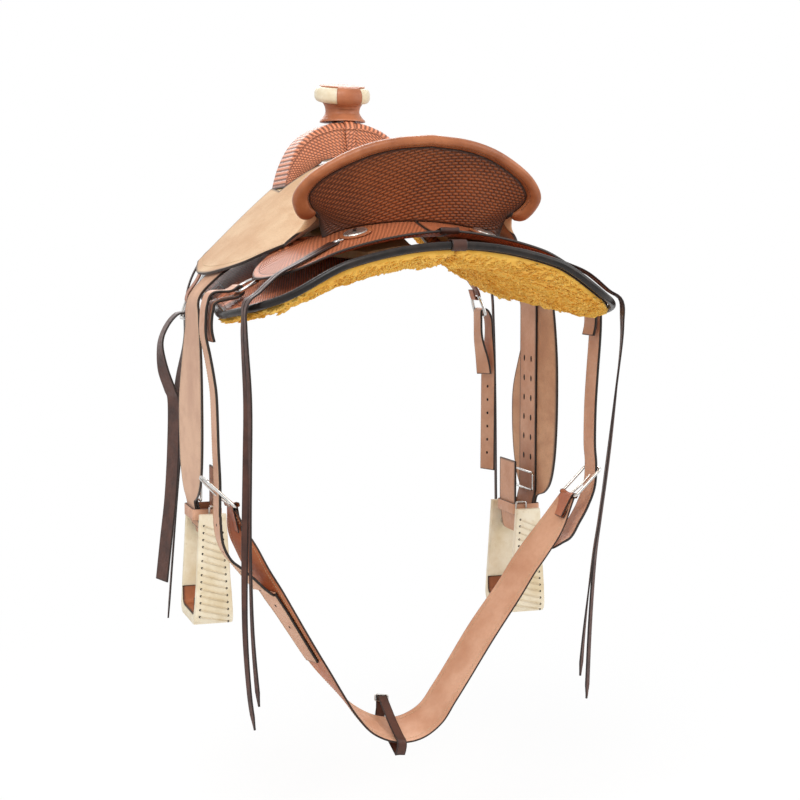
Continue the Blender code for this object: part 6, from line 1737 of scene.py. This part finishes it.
def leathers():
    """Stirrup leathers: over the bar in their groove, down, round the bolt and up again inside."""
    for name, side in SIDES:
        drop = OFF_STIRRUP_DROP if side > 0 else 0.0
        body = "fender_" + name
        rest = BAR_TOP - GROOVE_DEPTH + FIT_GAP
        slope = [(x, rest + (x - 0.064) * LEATHER_LIFT) for x in (0.064, 0.092, 0.120, 0.149)]
        slope = np.array(slope + [(0.176, rest - 0.0015), (0.212, 0.0335), (0.250, 0.0330),
                                  (0.284, 0.0345)])
        y = LEATHER_Y + LEATHER_WIDTH * np.linspace(-0.5, 0.5, 13)[None]
        rows = on_back(slope[:, :1], y, slope[:, 1:])
        r = BOLT_R + 0.0006
        a = -math.pi * np.arange(7) / 6
        arc = np.stack([STIRRUP_X + r * np.cos(a), BOLT_Z + r * np.sin(a)], axis=1).tolist()
        fall = [(LEATHER_PLANE - 0.0085, -0.0480), (LEATHER_PLANE - 0.0012, -0.0680),
                (LEATHER_PLANE, -0.0900), (LEATHER_PLANE, -0.200), (LEATHER_PLANE, -0.300),
                (LEATHER_PLANE, -0.382), (LEATHER_PLANE - 0.0035, -0.404), (LEATHER_PLANE - 0.0090, -0.430)]
        climb = [(STIRRUP_X - r - 0.003, -0.440), (STIRRUP_X - r - 0.0055, -0.416),
                 (STIRRUP_X - r - 0.0060, -0.380), (STIRRUP_X - r - 0.0060, -0.346)]
        hang = lowered(fall + arc + climb, drop)
        hanging = xyz(hang[:, :1], y, hang[:, 1:])
        grid = loft(to_side(np.concatenate([rows, hanging]), side), 200)
        sheet("stirrup_strap_" + name, grid, -LEATHER_THICK * side, BILLET, body,
              ["stirrup_leather_" + name], "billet_leather", {"border": np.full(grid.shape[:2], 0.02)})
        strap_holes(name, side, drop, grid, body)
        fender(name, side, drop, body)
        hobble_strap(name, side, drop, body)


def strap_holes(name, side, drop, grid, body):
    """Oblong buckle holes up the inner face of the stirrup leather, and the buckle below them."""
    middle = grid[:, 6]
    falling = (np.abs(middle[:, 0]) > LEATHER_PLANE - 0.004) & (np.arange(len(grid)) < 150)
    line = middle[falling]
    heights = -0.150 - drop - 0.036 * np.arange(6)
    places = sample(heights, line[::-1, 2], line[::-1])
    for half_name, shift in (("rear", -0.016), ("front", 0.016)):
        dots("stirrup_strap_holes_" + half_name + "_" + name, places + ALONG_Y * shift, ALONG_X * -side,
             0.0034, body, "billet_leather", 1.7, np.array([0.0, 0.0, 1.0]))
    low, high = -0.398 - drop * 0.5, -0.366 - drop * 0.5
    x = (LEATHER_PLANE - 0.0060) * side
    y0, y1 = LEATHER_Y - LEATHER_WIDTH * 0.5 - 0.004, LEATHER_Y + LEATHER_WIDTH * 0.5 + 0.004
    wire("stirrup_strap_buckle_" + name, [(x, y0, low), (x, y1, low), (x, y1, high), (x, y0, high)], 0.007,
         0.0021, ALONG_X, body)


def fender(name, side, drop, body):
    """Fender, sewn along both edges.

    Its rows are (distance out, height above the back, rear edge, front edge) on the slope and
    (distance past its plane, height, rear edge, front edge) below it.
    """
    slope = np.array([(0.256, 0.0400, 0.042, 0.118), (0.284, 0.0415, 0.036, 0.116)])
    hang = np.array([(-0.0025, -0.0500, 0.028, 0.116), (0.0, -0.0800, 0.022, 0.126),
                     (0.0, -0.1200, 0.013, 0.152), (0.0, -0.1700, 0.006, 0.182),
                     (0.0, -0.2300, 0.004, 0.210), (0.0, -0.2900, 0.006, 0.213),
                     (0.0, -0.3400, 0.014, 0.205), (0.0, -0.3700, 0.030, 0.190),
                     (0.0, -0.3880, 0.056, 0.174), (-0.0015, -0.3970, 0.086, 0.168),
                     (-0.0035, -0.4080, 0.0905, 0.1645), (-0.0088, -0.4330, 0.0905, 0.1645),
                     (-0.0125, -0.4480, 0.0905, 0.1645)])
    t = np.linspace(0.0, 1.0, 25)[None]
    y = slope[:, 2:3] + (slope[:, 3:] - slope[:, 2:3]) * t
    rows = on_back(slope[:, :1], y, slope[:, 1:2])
    line = lowered(np.stack([FENDER_PLANE + hang[:, 0], hang[:, 1]], axis=1), drop)
    y = hang[:, 2:3] + (hang[:, 3:] - hang[:, 2:3]) * t
    hanging = xyz(line[:, :1], y, line[:, 1:])
    grid = loft(to_side(np.concatenate([rows, hanging]), side), 120)
    sheet("fender_leather_" + name, grid, -FENDER_THICK * side, FENDER_SUEDE, body, ["fender_" + name],
          "roughout_leather")
    normals = surface_normals(grid) * -side
    for edge_name, j in (("rear", 1), ("front", 23)):
        line = grid[:, j] + normals[:, j] * FENDER_THICK
        stitches("fender_stitches_" + edge_name + "_" + name, line[14:100], normals[14:100, j], body,
                 pitch=0.0048)


def rounded_rectangle(x0, x1, y0, y1, r, steps=6):
    """Closed line round a rectangle whose corners are quarter circles."""
    turn = np.linspace(0.0, 0.5, steps)[None] + np.array([0.0, 0.5, 1.0, 1.5])[:, None]
    centre = np.array([(x1 - r, y1 - r), (x0 + r, y1 - r), (x0 + r, y0 + r), (x1 - r, y0 + r)])[:, None]
    points = centre + r * np.stack([np.cos(math.pi * turn), np.sin(math.pi * turn)], axis=-1)
    return points.reshape(-1, 2)


def band(name, outline, z, width, thickness, finish, body, nodes=(), slot=None):
    """Flat ring round an outline in plan, its wall built outwards."""
    count = len(outline)
    run = np.roll(outline, -1, axis=0) - np.roll(outline, 1, axis=0)
    out = unit(np.stack([run[:, 1], -run[:, 0]], axis=1))
    out = out * np.sign((out * (outline - outline.mean(axis=0))).sum())
    r = thickness * 0.3
    half = width * 0.5
    shape = [(0.0, -half + r), (0.0, half - r), (r, half), (thickness - r, half), (thickness, half - r),
             (thickness, -half + r), (thickness - r, -half), (r, -half)]
    level = np.full((count, 1), z)
    rings = np.stack([np.hstack([outline + out * a, level + b]) for a, b in shape], axis=1)
    dark = np.tile(np.array([0, 0, 1, 1, 0, 0, 1, 1], float), (count, 1))
    return build(name, rings, grid_faces(count, len(shape), True, True), [], finish, body, nodes, slot,
                 fields={"edge": dark})


def hobble_strap(name, side, drop, body):
    """Strap round leather and fender above the stirrup, and its buckle behind."""
    inside = STIRRUP_X - BOLT_R - 0.0006 - 0.0060 - LEATHER_THICK - 0.0008
    outside = FENDER_PLANE + FENDER_THICK - 0.0020
    y0, y1 = LEATHER_Y - LEATHER_WIDTH * 0.5 - 0.0008, LEATHER_Y + LEATHER_WIDTH * 0.5 + 0.0008
    z = HOBBLE_TOP_Z - HOBBLE_WIDTH * 0.5 - drop
    outline = to_side(rounded_rectangle(inside, outside, y0, y1, 0.003), side)
    band("stirrup_hobble_" + name, outline, z, HOBBLE_WIDTH, HOBBLE_THICK, BILLET, body,
         ["hobble_strap_" + name], "billet_leather")
    y = y0 - HOBBLE_THICK - HOBBLE_WIRE_R - FIT_GAP
    x = inside + 0.011
    half_x, half_z = 0.0095, HOBBLE_WIDTH * 0.5 + 0.004
    corners = [((x + a * half_x) * side, y, z + b * half_z) for a, b in CORNERS]
    wire("stirrup_hobble_buckle_" + name, corners, 0.004, HOBBLE_WIRE_R, ALONG_Y, body,
         ["hobble_buckle_" + name])


def stirrup_rings(drop):
    """Outer and inner (y, z) lines of the stirrup from the rear top round the tread to the front top."""
    outer = [(1.000, STIRRUP_TOP_Z), (1.002, -0.460), (1.006, -0.500), (1.022, -0.560), (1.010, -0.590),
             (0.930, -0.6045), (0.760, STIRRUP_BOTTOM_Z), (0.400, STIRRUP_BOTTOM_Z),
             (0.0, STIRRUP_BOTTOM_Z)]
    tread_z = STIRRUP_BOTTOM_Z + STIRRUP_TREAD
    edge = STIRRUP_HALF_OUTER - STIRRUP_WALL
    inner = [(edge, STIRRUP_TOP_Z), (edge, -0.460), (edge, -0.500), (edge + 0.0008, -0.556),
             (edge - 0.0010, tread_z + 0.012), (edge - 0.0045, tread_z + 0.0035), (edge - 0.0140, tread_z),
             (edge - 0.030, tread_z), (0.0, tread_z)]
    outer = np.array([(STIRRUP_HALF_OUTER * k, z) for k, z in outer])
    inner = np.array(inner)
    outer = np.vstack([outer * [-1.0, 1.0], outer[-2::-1]])
    inner = np.vstack([inner * [-1.0, 1.0], inner[-2::-1]])
    both = curve(np.hstack([outer, inner]), 150)
    return both[:, :2] - [0.0, drop], both[:, 2:] - [0.0, drop]


def stirrups():
    """Rawhide stirrups with rounded edges, their lacing, the bolts through their tops and the treads."""
    for name, side in SIDES:
        drop = OFF_STIRRUP_DROP if side > 0 else 0.0
        body = "stirrup_" + name
        outer, inner = stirrup_rings(drop)
        count = len(outer)
        share = (STIRRUP_TOP_Z - drop - outer[:, 1]) / (STIRRUP_TOP_Z - STIRRUP_BOTTOM_Z)
        half = 0.5 * (STIRRUP_TOP_DEPTH + (STIRRUP_TREAD_DEPTH - STIRRUP_TOP_DEPTH) * share)[:, None]
        r = 0.0026
        turn = np.array([0.0, 0.5, 1.0])[None] * (math.pi / 2)
        sine, cosine = np.sin(turn), np.cos(turn)
        thick = unit(inner - outer)
        deep = np.linalg.norm(inner - outer, axis=1)[:, None]
        wide, flat = half - r, np.zeros((count, 1)) + r
        across = np.hstack([wide + r * sine, wide + r * cosine, -wide - r * sine, -wide - r * cosine])
        rise = np.hstack([flat - r * cosine, deep - r + r * sine, deep - r + r * cosine, flat - r * sine])
        points = outer[:, None] + thick[:, None] * rise[..., None]
        ring = xyz(STIRRUP_X * side + across, STIRRUP_Y + points[..., 0], points[..., 1])
        wave = 0.0005 * (scatter(ring, 60.0, 21) - 0.5)
        ring[..., 0] += wave
        build("stirrup_rawhide_" + name, ring, grid_faces(count, 12, close_columns=True),
              end_caps(count, 12), RAWHIDE, body, ["stirrup_" + name], "rawhide",
              fields={"edge": np.zeros((count, 12))}, sharp=60)
        lacing(name, side, outer, half[:, 0], body)
        place = np.array([STIRRUP_X * side, STIRRUP_Y, BOLT_Z - drop])
        reach = STIRRUP_HALF_OUTER - 0.0030
        head = reach + 0.0024
        profile = [(0.0, -head), (BOLT_R + 0.0016, -head), (BOLT_R + 0.003, -head + 0.0012),
                   (BOLT_R + 0.003, -reach), (BOLT_R, -reach), (BOLT_R, reach), (BOLT_R + 0.003, reach),
                   (BOLT_R + 0.003, head - 0.0012), (BOLT_R + 0.0016, head), (0.0, head)]
        spun("stirrup_pin_" + name, profile, place, ALONG_Y, STEEL, body, ["stirrup_bolt_" + name],
             "stainless_steel", segments=32)
        tread(name, side, inner, body)


def lacing(name, side, outer, half, body):
    """Rawhide lace whipped up the outer face of each rail: slanting stitches across its middle."""
    for rail, low, high in (("rear", 6, 58), ("front", 92, 144)):
        line = outer[low:high]
        run = lengths(line)
        count = int(run[-1] / LACE_PITCH)
        places = np.linspace(0.006, run[-1] - 0.006, count)
        y, z = sample(places, run, line).T
        wy, wz = sample(places, run, unit(np.gradient(line, axis=0))).T
        out_y, out_z = -wz, wy
        sign = np.sign(out_y.mean() * (-1.0 if rail == "rear" else 1.0))
        out_y, out_z = out_y * sign, out_z * sign
        t = np.linspace(-1.0, 1.0, 9)[None]
        reach = np.interp(places, run, half[low:high])[:, None] - 0.0085
        cross = STIRRUP_X * side + reach * t
        arch = 0.0013 * (1.0 - t ** 6) - 0.0004
        slant = 0.0065 * t
        py = STIRRUP_Y + y[:, None] + out_y[:, None] * arch + wy[:, None] * slant
        pz = z[:, None] + out_z[:, None] * arch + wz[:, None] * slant
        spine = xyz(cross, py, pz)
        outwards = xyz(0.0, out_y, out_z)
        ends = spine[:, [0, -1]] + outwards[:, None] * 0.0004
        dots("stirrup_holes_" + rail + "_" + name, ends.reshape(-1, 3), np.repeat(outwards, 2, axis=0),
             0.0020, body, "rawhide")
        ring = circles(xyz(0.0, wy, wz) * LACE_HALF_WIDTH, outwards * LACE_HALF_THICK, 6)
        points = spine[:, :, None] + ring[:, None]
        build("stirrup_lacing_" + rail + "_" + name, points, *many_tubes(points), RAWHIDE, body,
              slot="rawhide", fields={"edge": np.full(points.shape[:-1], 0.6)})


def tread(name, side, inner, body):
    """Leather laid on the tread inside the stirrup."""
    line = inner[46:105]
    half = STIRRUP_TREAD_DEPTH * 0.5 - 0.0015
    a = np.linspace(-half, half, 13)[None]
    way = unit(np.gradient(line, axis=0))
    out = np.stack([-way[:, 1], way[:, 0]], axis=1)
    out = out * np.sign(out[len(out) // 2, 1])
    base = line + out * 0.00045
    grid = xyz(STIRRUP_X * side + a, STIRRUP_Y + base[:, :1], base[:, 1:])
    lift = surface_normals(grid)[len(grid) // 2, 6, 2]
    sheet("tread_cover_" + name, grid, TREAD_LEATHER_THICK * np.sign(lift), TREAD, body,
          ["tread_leather_" + name], "skirting_leather")


def inside_pieces():
    """Pieces that stay as their solids: tree, ground seat, cantle board."""
    finishes = dict.fromkeys(("tree_bar_left", "tree_bar_right", "fork_block", "cantle_board"), TREE)
    finishes["ground_seat"] = SMOOTH
    for node, finish in finishes.items():
        for place in frame["nodes"][node].material_slots:
            place.material = finish


studio()
skirts()
wool_lining()
seat()
cantle()
fork()
horn()
rear_jockeys()
connectors()
conchos()
strings()
rear_rigging()
flank_set()
front_rigging()
leathers()
stirrups()
inside_pieces()
